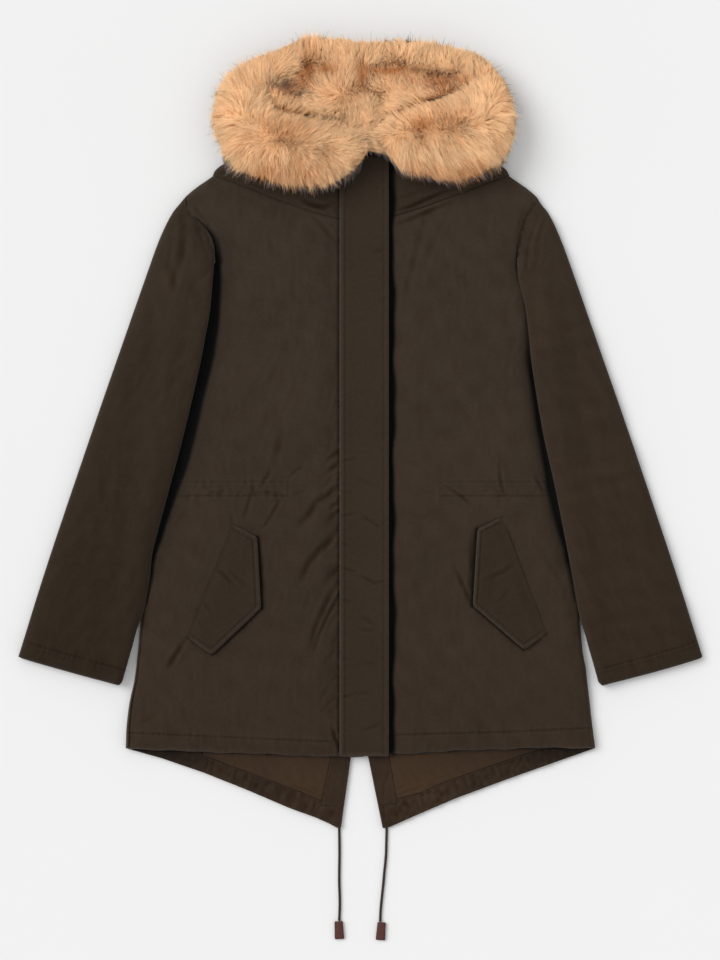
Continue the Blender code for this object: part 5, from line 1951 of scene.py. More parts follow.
@dataclass
class Placket:
    """The storm flap over the front opening: sewn along one edge, its other edge standing off."""

    creases: tuple[Crease, ...]
    form: PlacketForm = PLACKET_FORM
    sewn_row: float = 8.2
    free_rows: tuple[float, float] = (1.6, 7)

    def bottom(self, x: Array, y: Array) -> Array:
        """The placket's inside, on the fronts at its sewn edge and standing off them at the free one."""
        form = self.form
        free = smoothstep((x - form.sewn_x - 20) / (form.free_x - form.sewn_x - 20))
        below_fur = smoothstep((form.top_y - 6 - y) / 60)
        return LAYERS.placket_bed + LAYERS.gap + LAYERS.placket_lift * free * below_fur

    def top(self, x: Array, y: Array) -> Array:
        """The placket's outside before its wrinkles."""
        edge = np.minimum(x - self.form.sewn_x, self.form.free_x - x)
        return self.bottom(x, y) + LAYERS.placket_wall * (0.76 + 0.24 * dome(edge / 5.5))

    def column(self, x: float) -> Line:
        """A line down the placket."""
        return ((x, self.form.top_y - 2), (x, self.form.bottom_y + 2))

    def make(self) -> None:
        """Make the placket and sew its rows."""
        form = self.form
        left, right, high, low = form.sewn_x, form.free_x, form.top_y, form.bottom_y
        corners = ((left, high), (left, low), (right, low), (right, high), (left, high))
        sewn = self.column(left + self.sewn_row)
        edge, free = (self.column(right - inset) for inset in self.free_rows)
        reliefs: list[Relief] = [
            Crease(sewn, 0.6, 1.3, 0.5, tapered=False),
            Crease(self.column(left + 3.6), -0.7, 1.8, 0, tapered=False),
            Crease(free, 0.5, 1.3, 0.5, tapered=False),
            Puckers(sewn, 15, 0.24, 7, 1.5),
            Puckers(free, 19, 0.22, 8, 3.1),
            Ripples(71, 0.26, 40, 110),
            *self.creases,
        ]
        piece = ClothPiece("placket_cloth", closed_outline(straight_run(corners, OUTLINE_STEP)), self.bottom,
                           self.top, reliefs, finish=PLACKET_SHELL, lattice=2.3, rim=1.8, rim_share=0.55)
        piece.declare(piece.make(), ["placket"])
        foot = ((left + 2, low + 7), (right - 2, low + 7))
        sew("placket_stitches", [StitchRun(row, piece.outside) for row in (sewn, edge, free, foot)])


PLACKET = Placket(folds(
    (((-1, -110), (12, -116), (29, -127)), 1.5, 2.2, 0.6),
    (((-3, -189), (19, -200), (34, -197)), 1.5, 2.2, 0.6),
    (((-2, -244), (9, -249), (20, -258)), 1.3, 2.2, 0.6),
    (((-4, -262), (24, -265)), 1.1, 2.2, 0.5),
    (((-10, -348), (14, -349)), 1.1, 2.4, 0.5),
    (((-1, -399), (14, -395), (30, -387)), 1.3, 2.4, 0.5),
    (((-28, -37), (-6, -33)), 1.3, 2.2, 0.5),
    (((-28, -76), (-10, -80)), 1.1, 2, 0.5),
    (((-28, -111), (-6, -106)), 1.3, 2.2, 0.5),
    (((-28, -146), (-12, -152)), 1.1, 2, 0.5),
    (((-28, -178), (-5, -186)), 1.5, 2.2, 0.5),
    (((-28, -222), (-8, -227)), 1.3, 2.2, 0.5),
    (((-28, -300), (-12, -304)), 0.8, 2.2, 0.5),
    (((-28, -355), (-8, -350)), 1.3, 2.2, 0.5),
    (((36, 248), (14, 244)), 1.3, 2.4, 0.5),
    (((-8, 60), (20, 52)), 0.4, 4),
    (((-12, 150), (16, 160)), 0.4, 4),
    (((-6, -60), (24, -70)), 0.8, 3),
    (((0, -305), (26, -312)), 0.8, 3),
))


# ---- Back and fishtail
@dataclass
class BackPanel(HalfPiece):
    """A back from shoulder to fishtail, with the vent's edge below the centre seam."""

    meet_x: float = 0.15

    def bottom(self, x: Array, y: Array) -> Array:
        """The underside: mostly on the surface, with shallow hollows."""
        hollow = 0.5 * (1 + np.sin(x / 37 + np.sin(y / 61)) * np.sin(y / 53 + 0.6 * np.sin(x / 41)))
        tail = self.cut.lies(self.cut.tail_edge)
        return 0.9 * np.clip(hollow - 0.55, 0, 1) * smoothstep(distance_to(tail, x, y) / 30)

    def make(self) -> None:
        """Make the back; its underside rests flat."""
        side, cut = self.side, self.cut
        centre = (*cut.vent_edge[::-1], (self.meet_x, cut.vent_top_y), (self.meet_x, cut.back_neck_y),
                  (200, cut.back_neck_y))
        outline = closed_outline(
            cut.outline(cut.shoulder, cut.armhole, cut.armhole_under, cut.side_seam, cut.tail_edge, step=5),
            side.mirror(straight_run(centre, 6)))
        piece = ClothPiece(f"back_{side.label}_panel", outline, self.bottom, plane(LAYERS.back_top),
                           [Puckers(as_line(cut.lies(cut.tail_edge)), 13, 0.35, 7, 5)], lattice=7, rim=2.2,
                           bend_limit=0.3)
        piece.declare(piece.make(), [f"back_{side.label}"])


@dataclass
class TailInside(HalfPiece):
    """What shows inside one fishtail: the lining, and the facings along its vent and edge.

    Attributes:
        lining_low: The lining's lower edge, from the vent's side outwards.
        creases: Folds pressed into each piece, by its name.
    """

    lining_low: Line
    creases: dict[str, tuple[Crease, ...]]
    lining_top_y: float = -388
    facing_top_y: float = -404
    facing_side_x: float = 290

    def cuts(self) -> dict[str, Line]:
        """Each piece's corners, by the name of the solid it stands for."""
        gap, cut = LAYERS.gap, self.cut
        vent_side, corner, *low_edge = self.lining_low
        (vent_x, vent_y), tip = cut.vent_edge
        share = (self.lining_top_y - vent_y) / (cut.vent_top_y - vent_y)
        vent_top_x = vent_x * (1 - share) + 0.15 * share
        lining_top = (vent_side[0] - vent_x + vent_top_x, self.lining_top_y)
        seam_y = corner[1] - 6
        vent_foot = (vent_x + (tip[0] - vent_x) * (seam_y - vent_y) / (tip[1] - vent_y) + gap, seam_y)
        outer = low_edge[-1]
        outside = outer[0] + 2 * gap
        tail = cut.tail_edge
        return {
            "lining": ((lining_top[0] + gap, self.lining_top_y), (vent_side[0] + gap, vent_side[1]),
                       (corner[0] + gap, corner[1] + 2 * gap), *((x, y + 2 * gap) for x, y in low_edge),
                       (outer[0], self.lining_top_y)),
            "vent_facing": ((vent_top_x + gap, self.lining_top_y), (vent_x + gap, vent_y), vent_foot,
                            (corner[0], seam_y), corner, vent_side, lining_top),
            "hem_facing": (vent_foot, (tip[0] + gap, tip[1] + gap), *((x, y + gap) for x, y in tail[:0:-1]),
                           (tail[0][0] - 2, tail[0][1] - 2 * gap),
                           (self.facing_side_x + 12, cut.hem[0][1] - 1),
                           (self.facing_side_x, self.facing_top_y),
                           (outside, self.facing_top_y), (outside, outer[1]), *low_edge[-2::-1],
                           (corner[0] + gap, corner[1]), (corner[0] + gap, seam_y - gap),
                           (vent_foot[0], vent_foot[1] - gap)),
        }

    def shade(self, x: Array, y: Array) -> Array:
        """How deep in shade the tail's inside lies, under the front and just below its hem."""
        hem = self.cut.lies(self.cut.hem)
        away = distance_to(hem, x, y)
        ordered = hem[np.argsort(hem[:, 0])]
        under = y > np.interp(x, ordered[:, 0], ordered[:, 1])
        corner = smoothstep((x * self.side.value - 150) / 120)
        near = np.maximum((0.3 + 0.6 * corner) * (1 - smoothstep(away / 9)),
                          (0.12 + 0.58 * corner) * (1 - smoothstep(away / 45)))
        return np.where(under, 1, near)

    def make(self) -> None:
        """Make the lining and both facings, and sew the drawcord's casing."""
        side, cut = self.side, self.cut
        floor = LAYERS.back_top + LAYERS.gap
        casing = as_line(side.mirror(self.lining_low[1:]) + (side.value * 0.6, -2.4))
        vent = as_line(cut.lies(cut.vent_edge) + (side.value * 4, 0))
        edge = as_line(cut.lies(cut.tail_edge))
        middle = as_line((side.value * x, (y + np.interp(x, *zip(*sorted(cut.tail_edge)))) / 2)
                         for x, y in self.lining_low[1:])
        seed = 81 + side.value
        reliefs: dict[str, list[Relief]] = {
            "lining": [Ripples(seed, 0.25, 30, 90, 1.2, 1.2), Ripples(seed + 3, 0.12, 10, 30, 0.6, 1.2)],
            "vent_facing": [Crease(vent, 0.4, 1.4, 0.4, tapered=False), Ripples(seed + 4, 0.3, 14, 44)],
            "hem_facing": [
                Crease(casing, 1.2, 1.7, 0.5, tapered=False), Puckers(casing, 10, 1.5, 7, seed),
                Puckers(middle, 9, 1.6, 7, seed + 1), Puckers(edge, 11, 0.8, 8, seed + 2),
                Ripples(seed + 6, 1, 9, 30),
            ],
        }
        for part, corners in self.cuts().items():
            satin = part == "lining"
            piece = ClothPiece(
                f"{part}_{side.label}_cloth",
                closed_outline(side.mirror(straight_run((*corners, corners[0]), OUTLINE_STEP))),
                plane(floor), plane(floor + LAYERS.facing_wall),
                [*reliefs[part], *self.creases.get(part, ())], self.shade,
                finish=SATIN if satin else TAIL_SHELL, slot=Slot.LINING if satin else Slot.SHELL,
                lattice=2.4, rim=1.2, bend_limit=0.03)
            wide = {"hem_facing": (line_length(cut.tail_edge) + 60, 42), "vent_facing": (150, 44)}
            piece.declare(piece.make(), [f"{part}_{side.label}"],
                          wide.get(part))
            if part == "hem_facing":
                sew(f"tail_{side.label}_stitches", [StitchRun(casing, piece.outside)])


TAIL_INSIDES = (
    TailInside(Side.RIGHT, ((40.5, -434.8), (52.7, -494.8), (77.4, -484), (126.9, -465.9), (213.8, -432.7)), {
        "lining": folds((((-58, -487), (-72, -480), (-96, -474)), 1.1, 1.8, 0.6),
                        (((-56, -481), (-70, -474)), 0.8, 1.8, 0.6)),
        "vent_facing": folds((((-40, -440), (-43, -470), (-48, -496)), 0.8, 2.2, 0.6)),
    }),
    TailInside(Side.LEFT, ((37.8, -434.8), (48.2, -492.5), (80, -484), (111, -470), (170, -449.3),
                           (206, -437), (246, -423.7)), {
        "lining": folds((((52, -486), (66, -480), (80, -478)), 1.1, 1.8, 0.6),
                        (((50, -479), (60, -474)), 0.8, 1.8, 0.6)),
        "vent_facing": folds((((38, -440), (36, -462), (30, -476), (31, -494)), 1.3, 2.2, 0.6)),
        "hem_facing": folds((((31, -500), (31, -522)), 1.1, 1.6, 0.6)),
    }),
)


@dataclass
class HoodShell(HalfPiece):
    """Half of the hood, spread flat behind the neck under its lining and fur."""

    meet_x: float = 0.15

    def make(self) -> None:
        """Make the half hood."""
        side, cut = self.side, self.cut
        foot, edge = cut.back_neck_y + 0.4, cut.hood_edge
        foot_run = ((self.meet_x, edge[-1][1]), (self.meet_x, foot), (edge[0][0], foot))
        outline = closed_outline(cut.outline(edge, step=5), side.mirror(straight_run(foot_run, 6)))
        piece = ClothPiece(f"hood_{side.label}_shell", outline, plane(0), plane(LAYERS.back_top),
                           [Ripples(91, 0.2, 40, 90)], lattice=7, bend_limit=0.3)
        piece.declare(piece.make(), [f"hood_{side.label}"])


# ---- Fur
@dataclass
class Strands:
    """Hair as tapering ribbons, each three pairs of vertices and a tip, bending towards its middle point.

    Attributes:
        facing: The direction each ribbon's flat side looks in.
        outward: The way out of the fur, which its light mostly comes from.
        shade: Each strand's brightness.
        smoke: How dark each strand is, from dark hair and from painted shade.
        warm: How much of the deeper brown each strand has, partly painted shade.
    """

    root: Array
    middle: Array
    tip: Array
    facing: Array
    outward: Array
    shade: Array
    smoke: Array
    warm: Array
    width: Array

    STEPS = (0, 0.42, 0.76)
    SOFTNESS = 0.85

    def part(self, chosen: Array) -> "Strands":
        """Some of the strands."""
        return Strands(*(getattr(self, field.name)[chosen] for field in fields(self)))

    def make(self, name: str, finish: FurFinish, slot: Slot, floor: float = 0.4) -> Placed:
        """One joined mesh of the strands.

        Args:
            name: The piece's name.
            finish: Its finish.
            slot: Its material slot.
            floor: The lowest that a strand may lie.

        Returns:
            The object.
        """
        count = len(self.root)
        places, tips = [], []
        for step in self.STEPS:
            point = (1 - step) ** 2 * self.root + 2 * step * (1 - step) * self.middle + step**2 * self.tip
            ahead = (1 - step) * (self.middle - self.root) + step * (self.tip - self.middle)
            across = unit_rows(np.cross(ahead, self.facing), 1e-9)
            half = (self.width * (1, 0.92, 0.62)[len(places) // 2] / 2)[:, None]
            places += [point - across * half, point + across * half]
            tips += [step, step]
        places.append(self.tip)
        tips.append(1)
        vertices = np.stack(places, axis=1).reshape(-1, 3)
        vertices[:, 2] = np.maximum(vertices[:, 2], floor)
        shape = np.array(((0, 1, 3, 2), (2, 3, 5, 4)))
        start = 7 * np.arange(count)[:, None, None]
        quads = (shape[None] + start).reshape(-1, 4)
        points = (np.array(((4, 5, 6),))[None] + start).reshape(-1, 3)
        marks = {
            "tip": np.tile(np.array(tips), count),
            "shade": np.repeat(self.shade, 7),
            "warm": np.repeat(self.warm, 7),
            "smoke": np.repeat(self.smoke, 7) * np.tile(np.array(tips) ** 0.5, count),
        }
        faces = [*quads.tolist(), *points.tolist()]
        made = mesh_object(name, vertices, faces, finish, slot, marks, sharp=None)
        normals = self.outward * self.SOFTNESS + unit_rows(self.facing) * (1 - self.SOFTNESS)
        made.data.normals_split_custom_set_from_vertices(np.repeat(normals, 7, axis=0).tolist())
        log.info("%s: %d strands", name, count)
        return made


def nearest_leaders(points: Array, leaders: Array) -> tuple[Array, Array]:
    """The nearest leader of each point, and how far it is."""
    tree = KDTree(len(leaders))
    for index, point in enumerate(points[leaders]):
        tree.insert(point, index)
    tree.balance()
    found = [tree.find(point)[1:] for point in points]
    return leaders[np.array([index for index, _ in found])], np.array([away for _, away in found])


def clump(strands: Strands, rng: np.random.Generator, every: int, pull: float, reach: float,
          uneven: float = 0) -> None:
    """Draw strands together towards the tips of a few leaders, as fur gathers into locks.

    Args:
        strands: The strands, changed in place.
        rng: The source of the random choice of leaders.
        every: How many strands share a leader.
        pull: How much of the way their tips go.
        reach: How far away a leader may be.
        uneven: How much longer or shorter a whole lock may be.
    """
    count = len(strands.root)
    leaders = rng.choice(count, max(1, count // every), replace=False)
    leader, away = nearest_leaders(strands.root, leaders)
    share = (pull * rng.uniform(0.6, 1.25, count) * (1 - np.clip(away / reach, 0, 1) ** 2))[:, None]
    offset = strands.tip[leader] - strands.tip
    strands.tip += offset * share
    strands.middle += offset * share * 0.45
    ahead = unit_rows(strands.tip - strands.middle, 1e-6)
    strands.tip += ahead * (uneven * rng.uniform(-1, 1, count)[leader])[:, None]
    strands.shade *= 1 + 0.16 * (rng.random(count)[leader] - 0.5)
    strands.warm = np.clip(strands.warm + 0.22 * (rng.random(count)[leader] - 0.5), 0, 1)


def field_noise(points: Array, seed: int, length: float) -> Array:
    """A smooth seeded noise over space, from about -1 to 1."""
    rng = np.random.default_rng(seed)
    total = np.zeros(len(points))
    for _ in range(9):
        way = rng.normal(size=3)
        way /= np.linalg.norm(way)
        total += np.sin(points @ way * 2 * math.pi / (length * rng.uniform(0.7, 1.5)) + rng.uniform(0, 6.3))
    return total / 3.2


def ruffle(lean: Array, rng: np.random.Generator, swirl: Array, uneven: float, stray: float) -> None:
    """Turn the lean of combed strands to one side or the other.

    Args:
        lean: Which way and how far each strand leans, changed in place.
        rng: The random source.
        swirl: How far the strands of each place turn together.
        uneven: How differently neighbours turn.
        stray: How far a strand goes its own way.
    """
    turned = swirl[:, None] + rng.normal(0, uneven, (len(lean), 1))
    aside = np.column_stack((-lean[:, 1], lean[:, 0])) / 14 * turned
    lean[:, :2] += aside + rng.normal(0, stray, (len(lean), 2))


@dataclass(frozen=True)
class Grooming:
    """How the fur is combed and coloured, by place: the trim and the pile follow the same marks.

    Attributes:
        comb: Where the fur is combed which way: x, y, and how far the tips lean in x and y.
        dark_hair_and_shade_spots: Where dark hair gathers and painted shade darkens the opening's pockets: x,
            y, reach in x, reach in y, strength.
        brown_and_painted_shade_spots: Where the fur's deeper brown shows, and where painted shade darkens its
            valleys and the lobes' lower sides, in the same columns.
        pale_spots: Where it is palest, in the same columns.
    """

    comb: tuple[tuple[float, ...], ...] = (
        (-193, 420, -16, 0), (-185, 451, -14, 7), (-173, 473, -10, 12), (-154, 490, -5, 15),
        (-131, 498, 0, 15), (-119, 464, -6, 12), (-106, 501, 8, 12), (-77, 522, 3, 14), (-69, 494, -2, 5),
        (-38, 513, -3, 13), (-15, 513, 1, 14), (8, 516, 2, 14), (-92, 464, 6, 2), (-162, 436, -7, 12),
        (-137, 432, -1, 13), (-116, 431, 3, 9), (-178, 405, -15, -3), (-147, 405, -11, 1), (-125, 408, -5, 2),
        (-103, 398, 0, 0), (-100, 415, 3, 6), (-82, 412, 8, 6), (-69, 398, 10, 3), (-38, 405, 14, 2),
        (-7, 394, 15, 0), (-18, 380, 13, -6), (-128, 388, -7, -6), (-168, 381, -13, -8), (-181, 369, -9, -12),
        (-154, 364, -6, -14), (-130, 364, -3, -13), (-106, 375, 0, -9), (-112, 346, 0, -15),
        (-83, 358, 4, -13), (-54, 358, 8, -12), (-30, 364, 11, -10), (-15, 367, 13, -7), (-69, 338, 3, -15),
        (-69, 381, 8, -6), (-54, 470, -8, 8), (-30, 479, -2, 12), (-7, 482, 1, 12), (-49, 442, -10, 2),
        (-29, 426, -3, -5), (-2, 436, 6, -11), (7, 521, 0, 14), (69, 521, 0, 14), (116, 513, 2, 14),
        (147, 504, 4, 14), (170, 490, 7, 13), (187, 473, 10, 11), (187, 450, 11, 7), (203, 428, 14, 2),
        (195, 405, 13, -6), (178, 386, 8, -11), (156, 454, 0, 15), (161, 426, 3, 9), (131, 453, -5, 9),
        (100, 448, -6, 7), (69, 442, -9, 4), (46, 428, -10, 2), (29, 411, -11, -1), (104, 420, 0, 1),
        (80, 412, 0, -1), (125, 411, 3, -2), (86, 392, 4, -8), (110, 381, 8, -12), (131, 364, 9, -13),
        (155, 366, 8, -13), (148, 395, 9, -8), (170, 412, 11, -2), (63, 366, 3, -13), (46, 380, -2, -12),
        (85, 353, 5, -14), (119, 344, 8, -14), (179, 364, 4, -14), (1, 391, 13, -1), (38, 491, 0, 4),
        (116, 471, 0, 4), (69, 473, 2, 11), (38, 462, -5, 7), (23, 446, -2, -6), (15, 428, -4, -11),
        (-3, 437, 5, -12),
    )
    comb_reach: float = 15
    dark_hair_and_shade_spots: tuple[tuple[float, ...], ...] = (
        (-106, 466, 18, 11, 0.85), (-82, 456, 18, 8, 0.8), (-66, 474, 7, 14, 0.5), (10, 476, 7, 15, 0.3),
        (122, 470, 17, 9, 0.4), (96, 464, 12, 9, 0.4), (4, 393, 14, 5, 0.4),
    )
    brown_and_painted_shade_spots: tuple[tuple[float, ...], ...] = (
        (-72, 486, 18, 26, 0.9), (-44, 486, 16, 9, 0.8), (40, 485, 38, 9, 1), (2, 482, 9, 18, 0.8),
        (108, 472, 32, 13, 0.8), (82, 411, 20, 11, 0.75), (112, 416, 24, 12, 0.55), (-103, 404, 34, 16, 0.4),
        (84, 390, 10, 10, 0.4), (-60, 376, 22, 8, 0.3), (176, 388, 10, 12, 0.35), (-110, 352, 70, 14, 0.55),
        (125, 356, 70, 14, 0.55), (-100, 462, 26, 14, 0.7),
    )
    pale_spots: tuple[tuple[float, ...], ...] = ((176, 425, 34, 56, 1), (-160, 430, 26, 30, 0.4))

    def lean(self, x: Array, y: Array) -> Array:
        """Which way and how far the tips lean at each point, between the nearest marks."""
        total, weight = np.zeros((len(x), 3)), np.full(len(x), 1e-9)
        for mark_x, mark_y, lean_x, lean_y in self.comb:
            near = np.exp(-((x - mark_x) ** 2 + (y - mark_y) ** 2) / self.comb_reach**2)
            total += near[:, None] * np.array((lean_x, lean_y, 0))
            weight += near
        return total / weight[:, None]

    def strength(self, spots: Iterable[tuple[float, ...]], points: Array) -> Array:
        """How strongly each point lies in any of some spots."""
        total = np.zeros(len(points))
        for x, y, reach_x, reach_y, strength in spots:
            away = ((points[:, 0] - x) / reach_x) ** 2 + ((points[:, 1] - y) / reach_y) ** 2
            total = np.maximum(total, strength * np.exp(-away))
        return total

    def tones(self, rng: np.random.Generator, points: Array) -> tuple[Array, Array, Array]:
        """Each strand's brightness, its darkening by dark hair and painted shade, and its brownness, partly
        painted shade, uneven from strand to strand.

        Args:
            rng: The random source.
            points: Where the strands are.

        Returns:
            Their brightness, darkening and brownness.
        """
        count = len(points)
        shade = rng.normal(1, 0.085, count) * (1 + 0.05 * field_noise(points, 17, 14))
        shade = np.clip(shade, 0.65, 1.04) + 0.09 * self.strength(self.pale_spots, points)
        smoke = self.strength(self.dark_hair_and_shade_spots, points) > rng.random(count)
        stray = rng.random(count) < 0.003
        smoke = np.maximum(smoke * rng.uniform(0.5, 1, count), stray * 0.75)
        warm = self.strength(self.brown_and_painted_shade_spots, points) + 0.10 * (1 + field_noise(points, 18, 30))
        warm -= 0.3 * self.strength(self.pale_spots, points)
        return shade, smoke, np.clip(warm + rng.normal(0, 0.18, count), 0, 1)


@dataclass
class FurTrim:
    """The fur on the hood's edge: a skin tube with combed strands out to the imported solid's form.

    Attributes:
        sections: From the centre front round the wearer's right, the top and the left, back to the front:
            outer x, outer y, inner x, inner y, bottom z, top z.
    """

    sections: tuple[tuple[float, ...], ...] = (
        (7, 379, 6, 411, 17, 62), (-15, 346, -15, 413.8, 17, 66), (-46, 330.8, -39, 421.9, 14.5, 69),
        (-83.7, 329.4, -69, 428, 14.5, 70), (-128, 338, -91.8, 432.7, 14.5, 70),
        (-171.5, 354, -105, 438, 14.5, 68), (-194.4, 389.5, -111.4, 443.5, 10, 66),
        (-201.8, 421.9, -112.7, 448.2, 6, 64), (-193, 454.3, -109.4, 454.3, 4.4, 61),
        (-174, 484, -101.3, 461, 4.4, 58), (-147, 503.6, -87.8, 471.8, 4.4, 55),
        (-110.7, 519, -72.9, 480.6, 4.4, 52), (-77, 529.2, -55.4, 486, 4.4, 50),
        (-39, 532, -27, 488, 4.4, 49), (2.7, 529, 6.8, 480, 4.4, 49), (52.7, 530.5, 50, 480.6, 4.4, 49),
        (95.9, 525.8, 86.4, 469, 4.4, 51), (133.7, 518.4, 110.7, 473, 4.4, 54),
        (166, 504, 129.6, 478, 4.4, 56), (189, 481, 139, 475, 4.4, 58), (204.5, 451.6, 141.5, 470.5, 4.4, 61),
        (206.6, 417.8, 136.4, 465.5, 6, 65), (198.5, 373.3, 124, 461, 10, 68),
        (171.5, 351, 108, 455.6, 14.5, 70), (126.9, 338.2, 85, 448.9, 14.5, 70),
        (86.4, 343.6, 63.5, 442, 14.5, 70), (55.4, 351, 43.2, 434, 14.5, 69), (39.2, 371, 27, 424.6, 17, 66),
        (21, 380, 13.5, 415.8, 17, 63), (-4, 381, -3, 411, 17, 62),
    )
    grooming: Grooming = Grooming()
    strand_count: int = 108000
    strand_width: float = 0.46
    depth: float = 22
    highest: float = 78
    lip: float = 59
    seed: int = 11

    def opening(self) -> Array:
        """The line round the opening where the fur turns down into it."""
        return closed_outline(np.array([row[2:4] for row in self.sections]))

    def form(self, place: Array, turn: Array, inset: Array | float) -> Array:
        """Points on the fur's form, or inside it.

        Args:
            place: How far round the ring, in section rows.
            turn: The angle in the section: 0 outwards, a quarter turn up.
            inset: How far inside the form.

        Returns:
            Places in millimetres.
        """
        rows = spline_rows(np.array(self.sections), np.clip(place, 0, len(self.sections) - 1.001))
        outer, inner, low, high = rows[:, 0:2], rows[:, 2:4], rows[:, 4], rows[:, 5]
        reach = (outer - inner) / 2
        half = np.hypot(*reach.T)
        wide = 1 - np.minimum(inset, 0.72 * half) / half
        tall = (high - low) / 2
        tall = tall - np.minimum(inset, 0.72 * tall)
        flat = (outer + inner) / 2 + reach * (np.cos(turn) * wide)[:, None]
        return np.column_stack((flat, (low + high) / 2 + tall * np.sin(turn)))

    def slopes(self, place: Array, turn: Array) -> tuple[Array, Array, Array]:
        """The form's outward direction, and how far a step round the ring and round the section goes."""
        step = 0.02
        round_ring = (self.form(place + step, turn, 5) - self.form(place - step, turn, 5)) / (2 * step)
        round_section = (self.form(place, turn + step, 5) - self.form(place, turn - step, 5)) / (2 * step)
        normal = unit_rows(np.cross(round_section, round_ring), 1e-9)
        flip = np.sum(normal * (self.form(place, turn, 0) - self.form(place, turn, 40)), axis=1) < 0
        normal[flip] *= -1
        return normal, round_ring, round_section

    def combed(self, place: Array, turn: Array, lean: Array, reach: Array) -> tuple[Array, Array]:
        """Where strands that start at a place end, leaning over the form.

        Args:
            place: How far round the ring they start.
            turn: Their angle in the section.
            lean: Which way and how far each leans.
            reach: How far beyond the form each tip ends.

        Returns:
            The tips, and the form's outward direction at the roots.
        """
        normal, ring, section = self.slopes(place, turn)
        along = lean - normal * np.sum(lean * normal, axis=1)[:, None]
        rr, ss, rs = (np.sum(a * b, axis=1) for a, b in ((ring, ring), (section, section), (ring, section)))
        lr, ls = np.sum(along * ring, axis=1), np.sum(along * section, axis=1)
        scale = rr * ss - rs * rs + 1e-6
        step_ring = np.clip((lr * ss - ls * rs) / scale, -0.9, 0.9)
        step_section = np.clip((ls * rr - lr * rs) / scale, -0.8, 0.8)
        return self.form(place + step_ring, turn + step_section, -reach), normal

    def grow(self, rng: np.random.Generator, count: int, low: float, high: float) -> tuple[Array, Array]:
        """Choose where strands are rooted, evenly over the form.

        Args:
            rng: The random source.
            count: How many strands.
            low: The lowest section angle.
            high: The highest section angle.

        Returns:
            Each root's place round the ring and its section angle.
        """
        place = rng.uniform(0, len(self.sections) - 1, 5 * count)
        turn = rng.uniform(low, high, 5 * count)
        _, ring, section = self.slopes(place, turn)
        area = np.linalg.norm(np.cross(ring, section), axis=1)
        chance = area * np.where((turn > math.radians(-15)) & (turn < math.radians(200)), 1, 0.35)
        kept = rng.random(len(place)) < chance / np.quantile(chance, 0.97)
        chosen = np.flatnonzero(kept)[:count]
        return place[chosen], turn[chosen]

    def strands(self) -> Strands:
        """The trim's strands, combed by the marks and gathered into fine locks."""
        rng = np.random.default_rng(self.seed)
        place, turn = self.grow(rng, self.strand_count, math.radians(-50), math.radians(228))
        count = len(place)
        root = self.form(place, turn, self.depth * rng.uniform(0.7, 1, count))
        skin = self.form(place, turn, 0)
        lean = self.grooming.lean(skin[:, 0], skin[:, 1])
        lean *= 1.45 + 0.30 * field_noise(skin, 9, 40)[:, None]
        ruffle(lean, rng, field_noise(skin, 12, 34) * 4, 2.2, 1.8)
        lean[:, 2] -= 6
        swell = 2.2 * field_noise(root, 5, 74) + 1.4 * field_noise(root, 6, 27)
        swell += 2.4 * field_noise(root, 7, 9)
        stray = np.minimum(rng.exponential(6, count), 15) * (rng.random(count) < 0.22)
        tip, normal = self.combed(place, turn, lean, swell + rng.normal(0, 2.2, count) - 2)
        over = ((place < 8) | (place > 21)) & is_inside(self.opening(), tip[:, 0], tip[:, 1])
        tip[over, 2] = np.maximum(tip[over, 2], self.lip + rng.normal(0, 1.5, over.sum()))
        rise = normal * (self.depth * rng.uniform(0.6, 0.8, count))[:, None]
        middle = root + rise + (tip - root - rise) * 0.12 + rng.normal(0, 1, (count, 3))
        tilt = normal + rng.normal(0, 0.35, (count, 3))
        width = self.strand_width * rng.uniform(0.8, 1.25, count)
        outward = unit_rows(normal * 0.22 + (0, 0, 0.78), 1e-6)
        made = Strands(root, middle, tip, tilt, outward, *self.grooming.tones(rng, (root + tip) / 2), width)
        clump(made, rng, 90, 0.18, 22, 3.5)
        clump(made, rng, 10, 0.52, 7, 2.2)
        made.tip += unit_rows(made.tip - made.middle, 1e-6) * stray[:, None]
        made.tip[:, 2] = np.minimum(made.tip[:, 2], self.highest)
        made.tip += rng.normal(0, 0.5, (count, 3))
        return made

    def guard_hair(self) -> Strands:
        """Long sparse dark hairs beyond the fur, and paler ones where it lies on the cloth."""
        rng = np.random.default_rng(self.seed + 1)
        lobes = np.concatenate((rng.uniform(0.3, 5.6, 650), rng.uniform(22.6, 28.6, 650)))
        edges = np.concatenate((rng.uniform(5.5, 22.5, 90), rng.uniform(19.5, 22.5, 30)))
        place = np.concatenate((lobes, edges))
        turn = np.concatenate((rng.uniform(-0.35, 0.35, len(lobes)), rng.uniform(-0.2, 0.9, len(edges))))
        count = len(place)
        over_cloth = np.arange(count) < len(lobes)
        pale = rng.random(count) < 0.45
        skin = self.form(place, turn, 0)
        lean = self.grooming.lean(skin[:, 0], skin[:, 1]) * rng.uniform(0.2, 0.9, (count, 1))
        long = rng.exponential(1, count)
        beyond = np.where(over_cloth, np.minimum(3 + 4.5 * long, 13), np.minimum(3 + 4 * long, 16))
        tip, normal = self.combed(place, turn, lean, beyond)
        tip[:, :2] += rng.normal(0, 2, (count, 2))
        tip[over_cloth, 2] = np.maximum(tip[over_cloth, 2] - rng.uniform(4, 14, over_cloth.sum()), 18.4)
        root = self.form(place, turn, 14)
        middle = (root + tip) / 2 + normal * rng.uniform(1, 5, (count, 1)) + rng.normal(0, 1, (count, 3))
        smoke = np.where(over_cloth & pale, rng.uniform(0, 0.3, count), rng.uniform(0.5, 1, count))
        made = Strands(root, middle, tip, normal + np.array((0, 0, 1)), normal, rng.uniform(0.8, 1.4, count),
                       smoke, np.zeros(count), rng.uniform(0.25, 0.40, count))
        clump(made, rng, 7, 0.6, 12)
        return made

